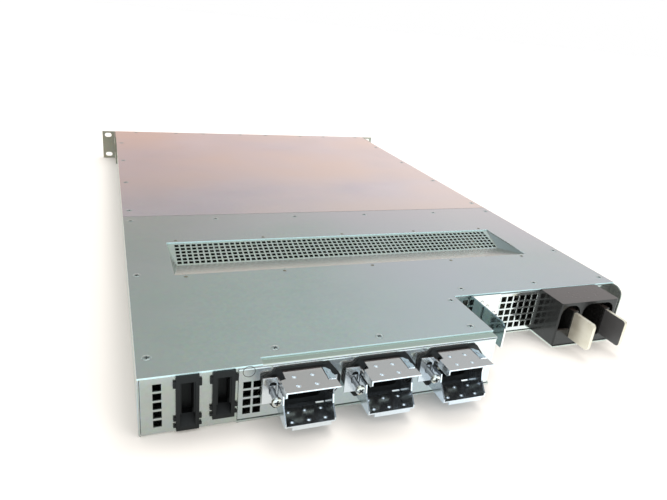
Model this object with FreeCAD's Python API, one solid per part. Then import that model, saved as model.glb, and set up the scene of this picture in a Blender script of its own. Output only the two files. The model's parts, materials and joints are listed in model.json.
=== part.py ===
import FreeCAD, Part
import math
import os

Vector = FreeCAD.Vector

# While modelling, x runs from the left side (seen from the rear), y from the rear face
# towards the front, and z from the base. Export moves the origin to the middle of the base.

# Body of the shelf, its width left between the ears of a standard rack front
rack_width = 482.6
ear_reach = 20.3
body_width = rack_width - 2 * ear_reach
body_depth = 704.0
body_height = 44.0
sheet = 1.2
bend_radius = 0.8
flange_width = 14.0
seam_from_rear = 287.0
seam_gap = 0.6
slide_gap = 0.3

# Rack ears
ear_height = 43.6
ear_sheet = 2.0
ear_leg = 42.0
ear_hole_height = 6.8
ear_hole_length = 10.3
ear_hole_spacing = 31.75
ear_hole_inset = 8.75

# Square ventilation holes
vent_hole = 5.3
vent_pitch = 6.8

# Rear flange of the tray, left of the inlet panel
rear_flange_end = 62.0
side_vent_centre = 11.6
side_vent_base = 8.5
side_vent_rows = 5

# Two moulded signal sockets in the rear flange
socket_width = 14.4
socket_ear = 1.7
socket_well_width = 7.6
socket_well_depth = 11.0
socket_proud = 2.0
socket_body_depth = 14.0
socket_centres = (30.0, 52.8)
socket_bottoms = (1.8, 6.9)
socket_top = 43.0

# Inlet panel
inlet_panel_end = 261.0
panel_top_flange = 26.0
panel_foot = 12.0
cover_set_back = 8.0
cover_full_until = 78.0
inlet_vent_inset = 3.5
inlet_vent_base = 6.0
inlet_vent_columns = 2
inlet_vent_rows = 4

# Mains inlets and their cord clamps
inlet_count = 3
inlet_first = 105.5
inlet_pitch = 58.5
inlet_height = 24.3
inlet_flange_thickness = 2.0
inlet_flange_half = 27.5
inlet_shoulder_half = 19.0
inlet_flange_half_height = 15.4
inlet_tip_half_height = 4.5
inlet_hole_offset = 21.3
inlet_hole_radius = 2.2
inlet_body_width = 32.0
inlet_body_height = 24.5
inlet_body_depth = 22.0
inlet_cavity_width = 27.4
inlet_cavity_height = 20.0
inlet_cavity_depth = 15.0
pin_width = 8.0
pin_thickness = 2.0
pin_spread = 7.0
pin_drop = 3.0
pin_tail = 36.0

clamp_sheet = 1.0
channel_half_width = 17.5
channel_floor = 10.5
channel_depth = 24.5
riser_from_front = 7.6
channel_lip = 3.5
channel_left_top = 28.0
clamp_opening = 26.8
clamp_travel = 5.0
jaw_reach = 26.0
jaw_flange = 6.0
jaw_waist = 3.7
jaw_waist_depth = 9.0
jaw_tab_bottom = 15.2
jaw_tab_top = 35.3
jaw_tab_reach = 7.0
jaw_slot_radius = 2.5
dimple_radius = 1.8
dimple_height = 0.9
clamp_gap = 0.3
clamp_screw_radius = 1.95
clamp_screw_head_radius = 3.5
clamp_screw_head_height = 2.4
clamp_screw_travel = 10.0

# Recess with the direct-current output
recess_depth = 66.0
recess_gap = 1.0
recess_vent_inset = 10.3
recess_vent_base = 6.1
recess_vent_rows = 5
guard_inset = 16.0
guard_sheet = 1.5
guard_bottom = 22.5
guard_reach = 52.0
guard_foot_share = 0.42
guard_corner = 7.0
wall_tab_reach = 13.5
wall_tab_corner = 10.0

shroud_right_margin = 23.5
shroud_width = 64.0
shroud_reach = 30.0
shroud_wall = 2.0
shroud_rim = 1.2
shroud_top = 43.5
shroud_post_offset = 6.0
shroud_post_width = 3.0
shroud_sill = 8.0
shroud_high_sill = 17.0
shroud_head = 2.5
shroud_arch = 9.0
sleeve_wall = 1.2
sleeve_play = 0.1

busbar_thickness = 3.0
busbar_height = 25.0
busbar_bottom = 8.5
busbar_margin = 11.0
busbar_pitch = 35.5
busbar_reach = 53.5
busbar_corner = 3.0

# Sunken vent in the rear cover
pocket_start = 36.5
pocket_right_margin = 46.5
pocket_near = 141.4
pocket_far = 212.8
pocket_valley = 179.5
pocket_depth = 9.0
pocket_end_slope = 6.5
pocket_sheet = 1.0
pocket_rim = 11.0
grille_hole = 3.7
grille_pitch = 5.25
grille_rows = 6
pocket_rivet_offset = 4.5
pocket_rivet_inset = 9.0
pocket_rivets_per_side = 5

# Fasteners
screw_head_radius = 3.1
screw_core_radius = 1.4
screw_play = 0.1
screw_sink = 0.05
side_screw_inset = 7.0
seam_screw_inset = 12.5
seam_screw_shares = (0.21, 0.409, 0.602, 0.811)
rear_side_screw_rows = (21.9, 145.2)
over_inlet_screw_first = 90.5
over_inlet_screw_pitch = 78.4
over_output_screw_inset = 14.4
over_shroud_screw_margin = 86.3
recess_screw_offset = 6.5
front_side_screw_start = 20.0
front_side_screw_count = 4
front_edge_inset = 6.0
front_edge_first = 31.5
front_edge_share = 0.585
rivet_radius = 1.6
rivet_height = 0.6

# Boards inside the rear half
backplane_before_seam = 25.0
backplane_thickness = 2.4
backplane_top_gap = 4.0
backplane_air_bottom = 8.0
backplane_air_margin = 12.8
backplane_air_reach = 26.0
backplane_air_gap = 3.0
backplane_air_side = 6.0
crossbar_lap = 13.0
crossbar_leg = 10.0
board_thickness = 1.6
input_board_height = 6.0
input_board_rear = 30.0
input_board_left_gap = 8.0
input_board_right_gap = 5.0
standoff_radius = 3.0
standoff_side_inset = 6.0
standoff_end_inset = 10.0
header_depth = 19.0
header_height = 13.0
header_width = 56.0
header_bottom = 12.0
header_side_room = 12.0
header_wall = 3.0
header_floor = 4.0
support_gap = 6.0
support_depth = 14.0
support_margin = 12.0
support_cap = 3.0

# Plug-in modules: three rectifiers and one controller in bays of one width
bay_count = 4
divider_flange = 10.0
divider_rear_gap = 16.0
divider_front_gap = 4.0
module_side_gap = 0.5
module_behind_seam = 5.0
module_sheet = 1.0
module_face = 3.0
module_board_height = 16.0
module_board_gap = 1.0
module_board_front_gap = 4.0
tongue_reach = 14.0
tongue_inset = 4.0
foot_radius = 2.5
foot_side_inset = 6.0
foot_end_inset = 12.0
fan_radius = 18.0
fan_hub_radius = 8.0
fan_frame = 39.0
fan_depth = 15.0
fan_blades = 7
spindle_radius = 1.5
spindle_clearance = 0.08
lever_length = 40.0
lever_thickness = 6.0
lever_height = 16.0
lever_pin_radius = 1.6
lever_stand_off = 1.0

# Components on the board of a rectifier: start and end across the board and along it, as
# shares of the board, then the height as a share of the room above it; the round cans stand
# in a row near the right edge
board_blocks = (
    (0.08, 0.38, 0.05, 0.45, 0.79),
    (0.44, 0.73, 0.20, 0.35, 0.88),
    (0.44, 0.73, 0.40, 0.55, 0.88),
    (0.08, 0.29, 0.55, 0.90, 0.92),
)
can_radius = 9.0
can_height_share = 0.88
can_place = 0.86
can_rows = (0.2, 0.35, 0.5, 0.65)

# Worked out from the values above
cover_bottom = body_height - sheet
flange_bottom = cover_bottom - sheet
recess_face = recess_depth
module_bottom = sheet + slide_gap
module_height = flange_bottom - slide_gap - module_bottom
bay_span = body_width - 2 * sheet
divider_count = bay_count - 1
module_width = (bay_span - divider_count * sheet) / bay_count - 2 * module_side_gap
bay_pitch = module_width + 2 * module_side_gap + sheet
pocket_end = body_width - pocket_right_margin
pocket_width = pocket_end - pocket_start
module_front = body_depth - module_face
module_rear = seam_from_rear + module_behind_seam
backplane_from_rear = seam_from_rear - backplane_before_seam
inlet_centres = [inlet_first + i * inlet_pitch for i in range(inlet_count)]
inlet_vent_x = rear_flange_end + inlet_vent_inset
recess_start = inlet_panel_end + recess_gap
recess_vent_x = recess_start + recess_vent_inset
shroud_end = body_width - shroud_right_margin
shroud_start = shroud_end - shroud_width
recess_vent_columns = int((shroud_start - recess_vent_x) / vent_pitch)
guard_x = recess_start + guard_inset
guard_foot = guard_foot_share * (shroud_start - guard_x)
busbar_right = shroud_end - busbar_margin
busbar_left = busbar_right - busbar_pitch
busbar_places = (busbar_left, busbar_right)
shroud_post = busbar_left + shroud_post_offset


def box(x0, x1, y0, y1, z0, z1):
    """Block between two opposite corners."""
    return Part.makeBox(x1 - x0, y1 - y0, z1 - z0, Vector(x0, y0, z0))


def rod(radius, start, direction, length):
    """Round bar from a start point along a direction."""
    return Part.makeCylinder(radius, length, start, direction)


def joined(shapes):
    """One solid from several touching ones."""
    return shapes[0].multiFuse(shapes[1:]).removeSplitter()


def in_side_view(u, v):
    """Point of a profile drawn in the plane of y and z."""
    return Vector(0, u, v)


def in_rear_view(u, v):
    """Point of a profile drawn in the plane of x and z."""
    return Vector(u, 0, v)


def in_plan_view(u, v):
    """Point of a profile drawn in the plane of x and y."""
    return Vector(u, v, 0)


def offset_side(path, thickness, radius, side):
    """Edges of one side of a folded strip, each corner of its middle line rounded."""
    offset = side * thickness / 2
    middle_radius = radius + thickness / 2
    points = [Vector(u, v, 0) for u, v in path]
    ways = [(b - a).normalize() for a, b in zip(points, points[1:])]
    normals = [Vector(-way.y, way.x, 0) for way in ways]
    edges = []
    start = points[0] + normals[0] * offset
    for corner, way, after, normal, normal_after in zip(
        points[1:], ways, ways[1:], normals, normals[1:]
    ):
        turn = math.atan2(way.cross(after).z, way.dot(after))
        sign = 1 if turn > 0 else -1
        set_back = middle_radius * math.tan(abs(turn) / 2)
        centre = corner - way * set_back + normal * (sign * middle_radius)
        arc_start = corner - way * set_back + normal * offset
        arc_end = corner + after * set_back + normal_after * offset
        arc_middle = centre + (corner - centre).normalize() * (middle_radius - sign * offset)
        edges.append(Part.LineSegment(start, arc_start).toShape())
        edges.append(Part.Arc(arc_start, arc_middle, arc_end).toShape())
        start = arc_end
    end = points[-1] + normals[-1] * offset
    edges.append(Part.LineSegment(start, end).toShape())
    return edges, points[0] + normals[0] * offset, end


def folded(path, thickness, to_space, sweep, radius=bend_radius):
    """Folded sheet: a strip along a bent middle line, drawn in one view and swept across it."""
    near_side, near_start, near_end = offset_side(path, thickness, radius, 1)
    far_side, far_start, far_end = offset_side(path, thickness, radius, -1)
    caps = [
        Part.LineSegment(near_start, far_start).toShape(),
        Part.LineSegment(near_end, far_end).toShape(),
    ]
    wire = Part.Wire(Part.__sortEdges__(near_side + far_side + caps))
    face = Part.Face(wire)
    origin = to_space(0, 0)
    along_u = to_space(1, 0) - origin
    along_v = to_space(0, 1) - origin
    normal = along_u.cross(along_v)
    matrix = FreeCAD.Matrix(
        along_u.x, along_v.x, normal.x, 0,
        along_u.y, along_v.y, normal.y, 0,
        along_u.z, along_v.z, normal.z, 0,
        0, 0, 0, 1,
    )
    face.Placement = FreeCAD.Placement(matrix)
    return face.extrude(sweep)


def plate(points, to_space, sweep):
    """Flat plate from the corners of its outline."""
    corners = [to_space(u, v) for u, v in points]
    return Part.Face(Part.makePolygon(corners + corners[:1])).extrude(sweep)


def rounded_plate(width, height, radius, centre_u, centre_v, to_space, sweep):
    """Flat plate with a rounded rectangular outline about a centre."""
    half_u = width / 2
    half_v = height / 2
    corner = [
        (half_u, half_v - radius, half_u - radius, half_v),
        (-half_u + radius, half_v, -half_u, half_v - radius),
        (-half_u, -half_v + radius, -half_u + radius, -half_v),
        (half_u - radius, -half_v, half_u, -half_v + radius),
    ]
    edges = []
    last = None
    first = None
    for u0, v0, u1, v1 in corner:
        middle_u = math.copysign(half_u - radius * (1 - math.sqrt(0.5)), u0 + u1)
        middle_v = math.copysign(half_v - radius * (1 - math.sqrt(0.5)), v0 + v1)
        start = to_space(centre_u + u0, centre_v + v0)
        middle = to_space(centre_u + middle_u, centre_v + middle_v)
        end = to_space(centre_u + u1, centre_v + v1)
        if last is not None and last.distanceToPoint(start) > 1e-6:
            edges.append(Part.LineSegment(last, start).toShape())
        edges.append(Part.Arc(start, middle, end).toShape())
        first = first or start
        last = end
    if last.distanceToPoint(first) > 1e-6:
        edges.append(Part.LineSegment(last, first).toShape())
    return Part.Face(Part.Wire(edges)).extrude(sweep)


def vent_holes(first_x, base_z, columns, rows, y0, y1):
    """Grid of square holes through a rear-facing sheet between two depths."""
    return [
        box(
            first_x + column * vent_pitch, first_x + column * vent_pitch + vent_hole,
            y0, y1,
            base_z + row * vent_pitch, base_z + row * vent_pitch + vent_hole,
        )
        for column in range(columns)
        for row in range(rows)
    ]


def chassis_tray():
    """Folded tray: base, both side walls with inward top flanges, and the rear left flange."""
    middle = sheet / 2
    top = cover_bottom - middle
    path = [
        (flange_width, top), (middle, top), (middle, middle),
        (body_width - middle, middle), (body_width - middle, top),
        (body_width - flange_width, top),
    ]
    tray = folded(path, sheet, in_rear_view, Vector(0, body_depth, 0))
    bend_zone = sheet + bend_radius
    cuts = [
        box(recess_start, body_width + 1, -1, recess_depth, -1, body_height),
        box(sheet, rear_flange_end, -1, bend_zone, -1, flange_bottom - middle),
        box(sheet, flange_width + 1, -1, bend_zone, flange_bottom - middle, body_height),
    ]
    tray = tray.cut(cuts)
    flange = folded(
        [(bend_zone + 1, middle), (middle, middle), (middle, cover_bottom)],
        sheet, in_side_view, Vector(rear_flange_end - sheet - slide_gap, 0, 0),
    )
    flange.translate(Vector(sheet + slide_gap, 0, 0))
    tongue = box(shroud_start, shroud_end, recess_depth - shroud_reach - 1, recess_depth, 0, sheet)
    wall_tab = box(
        body_width - sheet, body_width, recess_depth - wall_tab_reach, recess_depth, 0, cover_bottom
    )
    corner = [
        edge for edge in wall_tab.Edges
        if abs(edge.CenterOfMass.y - (recess_depth - wall_tab_reach)) < 0.01
        and abs(edge.CenterOfMass.z - cover_bottom) < 0.01
    ]
    wall_tab = wall_tab.makeFillet(wall_tab_corner, corner)
    tray = joined([tray, flange, tongue, wall_tab])
    openings = [
        box(
            centre - socket_width / 2 + socket_ear, centre + socket_width / 2 - socket_ear,
            -1, sheet + 1, bottom + socket_ear, socket_top - socket_ear,
        )
        for centre, bottom in zip(socket_centres, socket_bottoms)
    ]
    vents = vent_holes(
        side_vent_centre - vent_hole / 2, side_vent_base - vent_hole / 2,
        1, side_vent_rows, -1, sheet + 1,
    )
    return tray.cut(openings + vents)


def rear_cover_outline():
    """Corners of the rear cover, set back over the inlets and round the output recess."""
    return [
        (0, 0), (cover_full_until, 0), (cover_full_until, cover_set_back),
        (recess_start, cover_set_back), (recess_start, recess_depth),
        (body_width, recess_depth), (body_width, seam_from_rear), (0, seam_from_rear),
    ]


def rear_screw_places():
    """Countersunk screws of the rear cover, into the flanges below it."""
    left = side_screw_inset
    right = body_width - side_screw_inset
    seam = seam_from_rear - seam_screw_inset
    over_inlets = [
        (over_inlet_screw_first + i * over_inlet_screw_pitch, panel_top_flange * 2 / 3)
        for i in range(inlet_count)
    ]
    over_output = [
        (place, recess_depth + panel_foot)
        for place in (
            recess_start + over_output_screw_inset, body_width - over_shroud_screw_margin, right
        )
    ]
    beside_recess = [(inlet_panel_end - panel_foot / 2, recess_depth - recess_screw_offset)]
    sides = [(left, rear_side_screw_rows[0])]
    sides += [(x, y) for x in (left, right) for y in (rear_side_screw_rows[1], seam)]
    along_seam = [(share * body_width, seam) for share in seam_screw_shares]
    return over_inlets + over_output + beside_recess + sides + along_seam


def front_screw_places():
    """Countersunk screws of the front cover: four on each side and a pair over each bay."""
    step = (body_depth - seam_from_rear) / front_side_screw_count
    first = seam_from_rear + front_side_screw_start
    rows = [first + step * i for i in range(front_side_screw_count)]
    sides = [(x, y) for x in (side_screw_inset, body_width - side_screw_inset) for y in rows]
    front_edge = [
        (front_edge_first + bay_pitch * bay + shift, body_depth - front_edge_inset)
        for bay in range(bay_count)
        for shift in (0, front_edge_share * bay_pitch)
    ]
    return sides + front_edge


def divider_places():
    """Left face of each bay divider."""
    return [sheet + bay_pitch * (i + 1) - sheet for i in range(divider_count)]


def countersinks(places):
    """Conical seats for flat-headed screws in a cover."""
    return [
        Part.makeCone(
            screw_core_radius + screw_play, screw_head_radius + screw_play, sheet,
            Vector(x, y, cover_bottom), Vector(0, 0, 1),
        )
        for x, y in places
    ]


def rear_cover():
    """Rear top cover with the opening over the sunken vent."""
    cover = plate(rear_cover_outline(), in_plan_view, Vector(0, 0, sheet))
    cover.translate(Vector(0, 0, cover_bottom))
    window = box(
        pocket_start, pocket_end, pocket_near, pocket_far, cover_bottom - 1, body_height + 1
    )
    return cover.cut([window] + countersinks(rear_screw_places()))


def pocket_rivet_places():
    """Rivets along both long edges of the sunken vent."""
    first = pocket_start + pocket_rivet_inset
    step = (pocket_width - 2 * pocket_rivet_inset) / (pocket_rivets_per_side - 1)
    rows = (pocket_near - pocket_rivet_offset, pocket_far + pocket_rivet_offset)
    return [(first + step * i, y) for y in rows for i in range(pocket_rivets_per_side)]


def front_cover():
    """Plain front top cover over the module bays."""
    cover = box(
        0, body_width, seam_from_rear + seam_gap, body_depth, cover_bottom, body_height
    )
    return cover.cut(countersinks(front_screw_places()))


def hopper(rise):
    """Upside-down hipped roof under the opening in the cover, raised by a distance."""
    top = cover_bottom + rise
    valley = body_height - pocket_depth + rise
    x0 = pocket_start
    x1 = pocket_end
    corners = [
        Vector(x0, pocket_near, top), Vector(x1, pocket_near, top),
        Vector(x1, pocket_far, top), Vector(x0, pocket_far, top),
    ]
    ridge = [
        Vector(x0 + pocket_end_slope, pocket_valley, valley),
        Vector(x1 - pocket_end_slope, pocket_valley, valley),
    ]
    faces = [
        [corners[0], corners[1], corners[2], corners[3]],
        [corners[0], corners[1], ridge[1], ridge[0]],
        [corners[3], corners[2], ridge[1], ridge[0]],
        [corners[0], corners[3], ridge[0]],
        [corners[1], corners[2], ridge[1]],
    ]
    shell = Part.Shell([Part.Face(Part.makePolygon(face + face[:1])) for face in faces])
    return Part.Solid(shell)


def grille_holes():
    """Square holes through the slope of the pocket that faces the rear."""
    run = pocket_far - pocket_valley
    fall = pocket_depth - sheet
    slope = math.hypot(run, fall)
    down = Vector(0, -run / slope, -fall / slope)
    out = Vector(0, -down.z, down.y) * -1
    margin = (slope - grille_pitch * (grille_rows - 1) - grille_hole) / 2
    usable = pocket_end - pocket_start - 2 * pocket_end_slope
    columns = int((usable - grille_hole) / grille_pitch) + 1
    first = (pocket_start + pocket_end - grille_pitch * (columns - 1)) / 2
    top_edge = Vector(0, pocket_far, cover_bottom)
    reach = pocket_sheet * 3
    half = grille_hole / 2
    holes = []
    for row in range(grille_rows):
        upper = top_edge + down * (margin + row * grille_pitch) - out * reach
        lower = upper + down * grille_hole
        for column in range(columns):
            shift = Vector(first + column * grille_pitch, 0, 0)
            corners = [
                upper + shift - Vector(half, 0, 0), upper + shift + Vector(half, 0, 0),
                lower + shift + Vector(half, 0, 0), lower + shift - Vector(half, 0, 0),
            ]
            face = Part.Face(Part.makePolygon(corners + corners[:1]))
            holes.append(face.extrude(out * (2 * reach)))
    return holes


def vent_grille():
    """Pressed insert under the rear cover: rim, plain near slope and perforated far slope."""
    rim = box(
        pocket_start - pocket_rim, pocket_end + pocket_rim,
        pocket_near - pocket_rim, pocket_far + pocket_rim,
        cover_bottom - pocket_sheet, cover_bottom,
    )
    outer = hopper(-pocket_sheet)
    insert = joined([rim, outer]).cut(hopper(0))
    return insert.cut(grille_holes())


def rack_ear(side):
    """Angle bracket on a side wall, its face with two slots for rack screws."""
    ear_bottom = (body_height - ear_height) / 2
    edge = 0 if side < 0 else body_width
    outer = edge + side * ear_reach
    path = [
        (outer, body_depth - ear_sheet / 2),
        (edge + side * ear_sheet / 2, body_depth - ear_sheet / 2),
        (edge + side * ear_sheet / 2, body_depth - ear_leg),
    ]
    ear = folded(path, ear_sheet, in_plan_view, Vector(0, 0, ear_height))
    ear.translate(Vector(0, 0, ear_bottom))
    slot_x = outer - side * ear_hole_inset
    slots = []
    for rise in (-ear_hole_spacing / 2, ear_hole_spacing / 2):
        slot = rounded_plate(
            ear_hole_length, ear_hole_height, ear_hole_height / 2,
            slot_x, body_height / 2 + rise, in_rear_view, Vector(0, ear_sheet + 4, 0),
        )
        slot.translate(Vector(0, body_depth - ear_sheet - 2, 0))
        slots.append(slot)
    return ear.cut(slots)


def inlet_panel():
    """Rear panel that holds the mains inlets, folded at top, bottom and right end."""
    middle = sheet / 2
    start = rear_flange_end + slide_gap
    profile = [
        (panel_foot, sheet + middle), (middle, sheet + middle),
        (middle, cover_bottom - middle), (panel_top_flange, cover_bottom - middle),
    ]
    panel = folded(profile, sheet, in_side_view, Vector(inlet_panel_end - start, 0, 0))
    panel.translate(Vector(start, 0, 0))
    end_wall = folded(
        [
            (inlet_panel_end - panel_foot, middle), (inlet_panel_end - middle, middle),
            (inlet_panel_end - middle, recess_depth + panel_foot),
        ],
        sheet, in_plan_view, Vector(0, 0, flange_bottom - 2 * sheet),
    )
    end_wall.translate(Vector(0, 0, 2 * sheet))
    end_flange = box(
        inlet_panel_end - panel_foot, inlet_panel_end - middle, panel_top_flange - 1,
        recess_depth + panel_foot, flange_bottom, cover_bottom,
    )
    corner = box(
        inlet_panel_end - bend_radius - sheet, inlet_panel_end + 1,
        -1, bend_radius + sheet, 2 * sheet, flange_bottom,
    )
    panel = joined([panel.cut(corner), end_wall, end_flange])
    cuts = vent_holes(
        inlet_vent_x, inlet_vent_base, inlet_vent_columns, inlet_vent_rows, -1, sheet + 1
    )
    for centre in inlet_centres:
        cuts.append(rounded_plate(
            inlet_body_width + slide_gap, inlet_body_height + slide_gap, 3.0,
            centre, inlet_height, in_rear_view, Vector(0, sheet + 2, 0),
        ).translated(Vector(0, -1, 0)))
        for side in (-1, 1):
            cuts.append(rod(
                inlet_hole_radius, Vector(centre + side * inlet_hole_offset, -1, inlet_height),
                Vector(0, 1, 0), sheet + 2,
            ))
    return panel.cut(cuts)


def output_panel():
    """Perforated panel at the back of the recess, with a window for the busbars."""
    middle = sheet / 2
    profile = [
        (recess_face + panel_foot, sheet + middle), (recess_face + middle, sheet + middle),
        (recess_face + middle, cover_bottom - middle),
        (recess_face + panel_top_flange, cover_bottom - middle),
    ]
    length = body_width - flange_width - slide_gap - recess_start
    panel = folded(profile, sheet, in_side_view, Vector(length, 0, 0))
    panel.translate(Vector(recess_start, 0, 0))
    side = box(
        recess_start + length - 1, body_width - sheet, recess_face, recess_face + sheet,
        sheet + bend_radius, flange_bottom - bend_radius,
    )
    window = box(
        shroud_start + shroud_wall, shroud_end - shroud_wall, recess_face - 1,
        recess_face + sheet + 1, shroud_sill, shroud_top - shroud_wall - shroud_head,
    )
    vents = vent_holes(
        recess_vent_x, recess_vent_base, recess_vent_columns, recess_vent_rows,
        recess_face - 1, recess_face + sheet + 1,
    )
    return joined([panel, side]).cut([window] + vents)


def guard_rivet_places():
    """Rivets through the foot of the cable guard."""
    return [
        (guard_x + guard_sheet + guard_foot * share, cover_bottom - drop)
        for share, drop in ((0.36, 6.5), (0.56, 11.0), (0.82, 18.0))
    ]


def cable_guard():
    """Upright plate beside the output, folded from a foot on the recess panel."""
    middle = guard_sheet / 2
    path = [
        (guard_x + guard_foot, recess_face - middle), (guard_x + middle, recess_face - middle),
        (guard_x + middle, recess_face - guard_reach),
    ]
    guard = folded(
        path, guard_sheet, in_plan_view, Vector(0, 0, body_height - 0.5 - guard_bottom)
    )
    guard.translate(Vector(0, 0, guard_bottom))
    outer = [
        edge for edge in guard.Edges
        if abs(edge.CenterOfMass.y - (recess_face - guard_reach)) < 0.01
        and abs(edge.CenterOfMass.x - (guard_x + middle)) < 0.01
        and edge.CenterOfMass.z > body_height / 2 + guard_corner
        and abs(edge.Length - guard_sheet) < 0.01
    ]
    guard = guard.makeFillet(guard_corner, outer)
    trim = box(
        guard_x + guard_sheet + 1, guard_x + guard_foot + 1, recess_face - guard_sheet - 1,
        recess_face + 1, cover_bottom, body_height + 1,
    )
    return guard.cut(trim)


def sleeve_block(place, grow, y0, y1):
    """Block round a busbar, larger than it by a distance on every side."""
    return box(
        place - busbar_thickness / 2 - grow, place + busbar_thickness / 2 + grow, y0, y1,
        busbar_bottom - grow, busbar_bottom + busbar_height + grow,
    )


def output_shroud():
    """Moulded black hood over the busbars: two windows and a sleeve round each blade."""
    rear = recess_face - shroud_reach
    hood = box(shroud_start, shroud_end, rear, recess_face, sheet, shroud_top)
    upright = [
        edge for edge in hood.Edges
        if abs(edge.CenterOfMass.y - rear) < 0.01 and abs(edge.Length - (shroud_top - sheet)) < 0.01
    ]
    hood = hood.makeFillet(1.5, upright)
    inside = box(
        shroud_start + shroud_wall, shroud_end - shroud_wall, rear + shroud_wall,
        recess_face + 1, sheet + shroud_wall, shroud_top - shroud_wall,
    )
    head = shroud_top - shroud_head
    half_post = shroud_post_width / 2
    windows = []
    for start, end, sill in (
        (shroud_start + shroud_rim, shroud_post - half_post, shroud_high_sill),
        (shroud_post + half_post, shroud_end - 2 * shroud_wall, shroud_sill),
    ):
        window = box(start, end, rear - 1, rear + shroud_wall + 1, sill, head)
        upper = [
            edge for edge in window.Edges
            if abs(edge.CenterOfMass.z - head) < 0.01
            and abs(edge.Length - shroud_wall - 2) < 0.01
        ]
        windows.append(window.makeFillet(shroud_arch, upper))
    grow = sleeve_play + sleeve_wall
    sleeves = [sleeve_block(place, grow, rear, recess_face) for place in busbar_places]
    bores = [
        sleeve_block(place, sleeve_play, rear - 1, recess_face + 1) for place in busbar_places
    ]
    return joined([hood.cut([inside] + windows)] + sleeves).cut(bores)


def busbar(place):
    """Tin-plated bar from the backplane to its blade outside the shroud."""
    tip = recess_face - busbar_reach
    bar = box(
        place - busbar_thickness / 2, place + busbar_thickness / 2, tip, backplane_from_rear,
        busbar_bottom, busbar_bottom + busbar_height,
    )
    corners = [
        edge for edge in bar.Edges
        if abs(edge.CenterOfMass.y - tip) < 0.01 and abs(edge.Length - busbar_thickness) < 0.01
    ]
    return bar.makeFillet(busbar_corner, corners)


def busbar_support():
    """Moulded block on the base that holds both busbars behind the recess."""
    rear = recess_face + panel_foot + support_gap
    front = rear + support_depth
    block = box(
        busbar_left - support_margin, busbar_right + support_margin, rear, front, sheet,
        busbar_bottom + busbar_height + support_cap,
    )
    slots = [sleeve_block(place, 0, rear - 1, front + 1) for place in busbar_places]
    return block.cut(slots)


def inlet_outline(grow):
    """Six-sided flange outline of a mains inlet about its centre."""
    return [
        (-inlet_flange_half - grow, -inlet_tip_half_height),
        (-inlet_shoulder_half, -inlet_flange_half_height - grow),
        (inlet_shoulder_half, -inlet_flange_half_height - grow),
        (inlet_flange_half + grow, -inlet_tip_half_height),
        (inlet_flange_half + grow, inlet_tip_half_height),
        (inlet_shoulder_half, inlet_flange_half_height + grow),
        (-inlet_shoulder_half, inlet_flange_half_height + grow),
        (-inlet_flange_half - grow, inlet_tip_half_height),
    ]


def pin_places(centre):
    """Two current pins side by side below the earth pin."""
    return [
        (centre - pin_spread, inlet_height - pin_drop),
        (centre + pin_spread, inlet_height - pin_drop),
        (centre, inlet_height + pin_drop),
    ]


def pin_solid(x, z):
    """Flat contact pin with a tail folded down to the input board."""
    tail_drop = z - (input_board_height + board_thickness)
    blade = box(
        x - pin_width / 2, x + pin_width / 2, 0, pin_tail,
        z - pin_thickness / 2, z + pin_thickness / 2,
    )
    tail = box(
        x - pin_width / 4, x + pin_width / 4, pin_tail - pin_thickness, pin_tail,
        z - tail_drop, z,
    )
    return joined([blade, tail])


def ac_inlet(centre):
    """Moulded mains inlet: screwed flange, deep cavity and body behind the panel."""
    flange = plate(
        [(centre + u, inlet_height + v) for u, v in inlet_outline(0)],
        in_rear_view, Vector(0, inlet_flange_thickness, 0),
    )
    upright = [edge for edge in flange.Edges if abs(edge.Length - inlet_flange_thickness) < 0.01]
    flange = flange.makeFillet(2.5, upright)
    flange.translate(Vector(0, -inlet_flange_thickness, 0))
    body = rounded_plate(
        inlet_body_width, inlet_body_height, 3.0, centre, inlet_height,
        in_rear_view, Vector(0, inlet_body_depth, 0),
    )
    cavity = rounded_plate(
        inlet_cavity_width, inlet_cavity_height, 4.0, centre, inlet_height,
        in_rear_view, Vector(0, inlet_cavity_depth + inlet_flange_thickness, 0),
    )
    cavity.translate(Vector(0, -inlet_flange_thickness, 0))
    holes = [
        rod(
            inlet_hole_radius,
            Vector(centre + side * inlet_hole_offset, -inlet_flange_thickness - 1, inlet_height),
            Vector(0, 1, 0), inlet_flange_thickness + 2,
        )
        for side in (-1, 1)
    ]
    pins = [
        box(
            x - pin_width / 2, x + pin_width / 2, 0, inlet_body_depth + 1,
            z - pin_thickness / 2, z + pin_thickness / 2,
        )
        for x, z in pin_places(centre)
    ]
    return joined([flange, body]).cut([cavity] + holes + pins)


def inlet_pins():
    """Contact pins of all the inlets."""
    return Part.makeCompound([
        pin_solid(x, z) for centre in inlet_centres for x, z in pin_places(centre)
    ])


def dimple(x, y, z, way):
    """Low round bump pressed out of a clamp sheet."""
    return Part.makeCone(dimple_radius, dimple_radius / 2, dimple_height, Vector(x, y, z), way)


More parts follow.
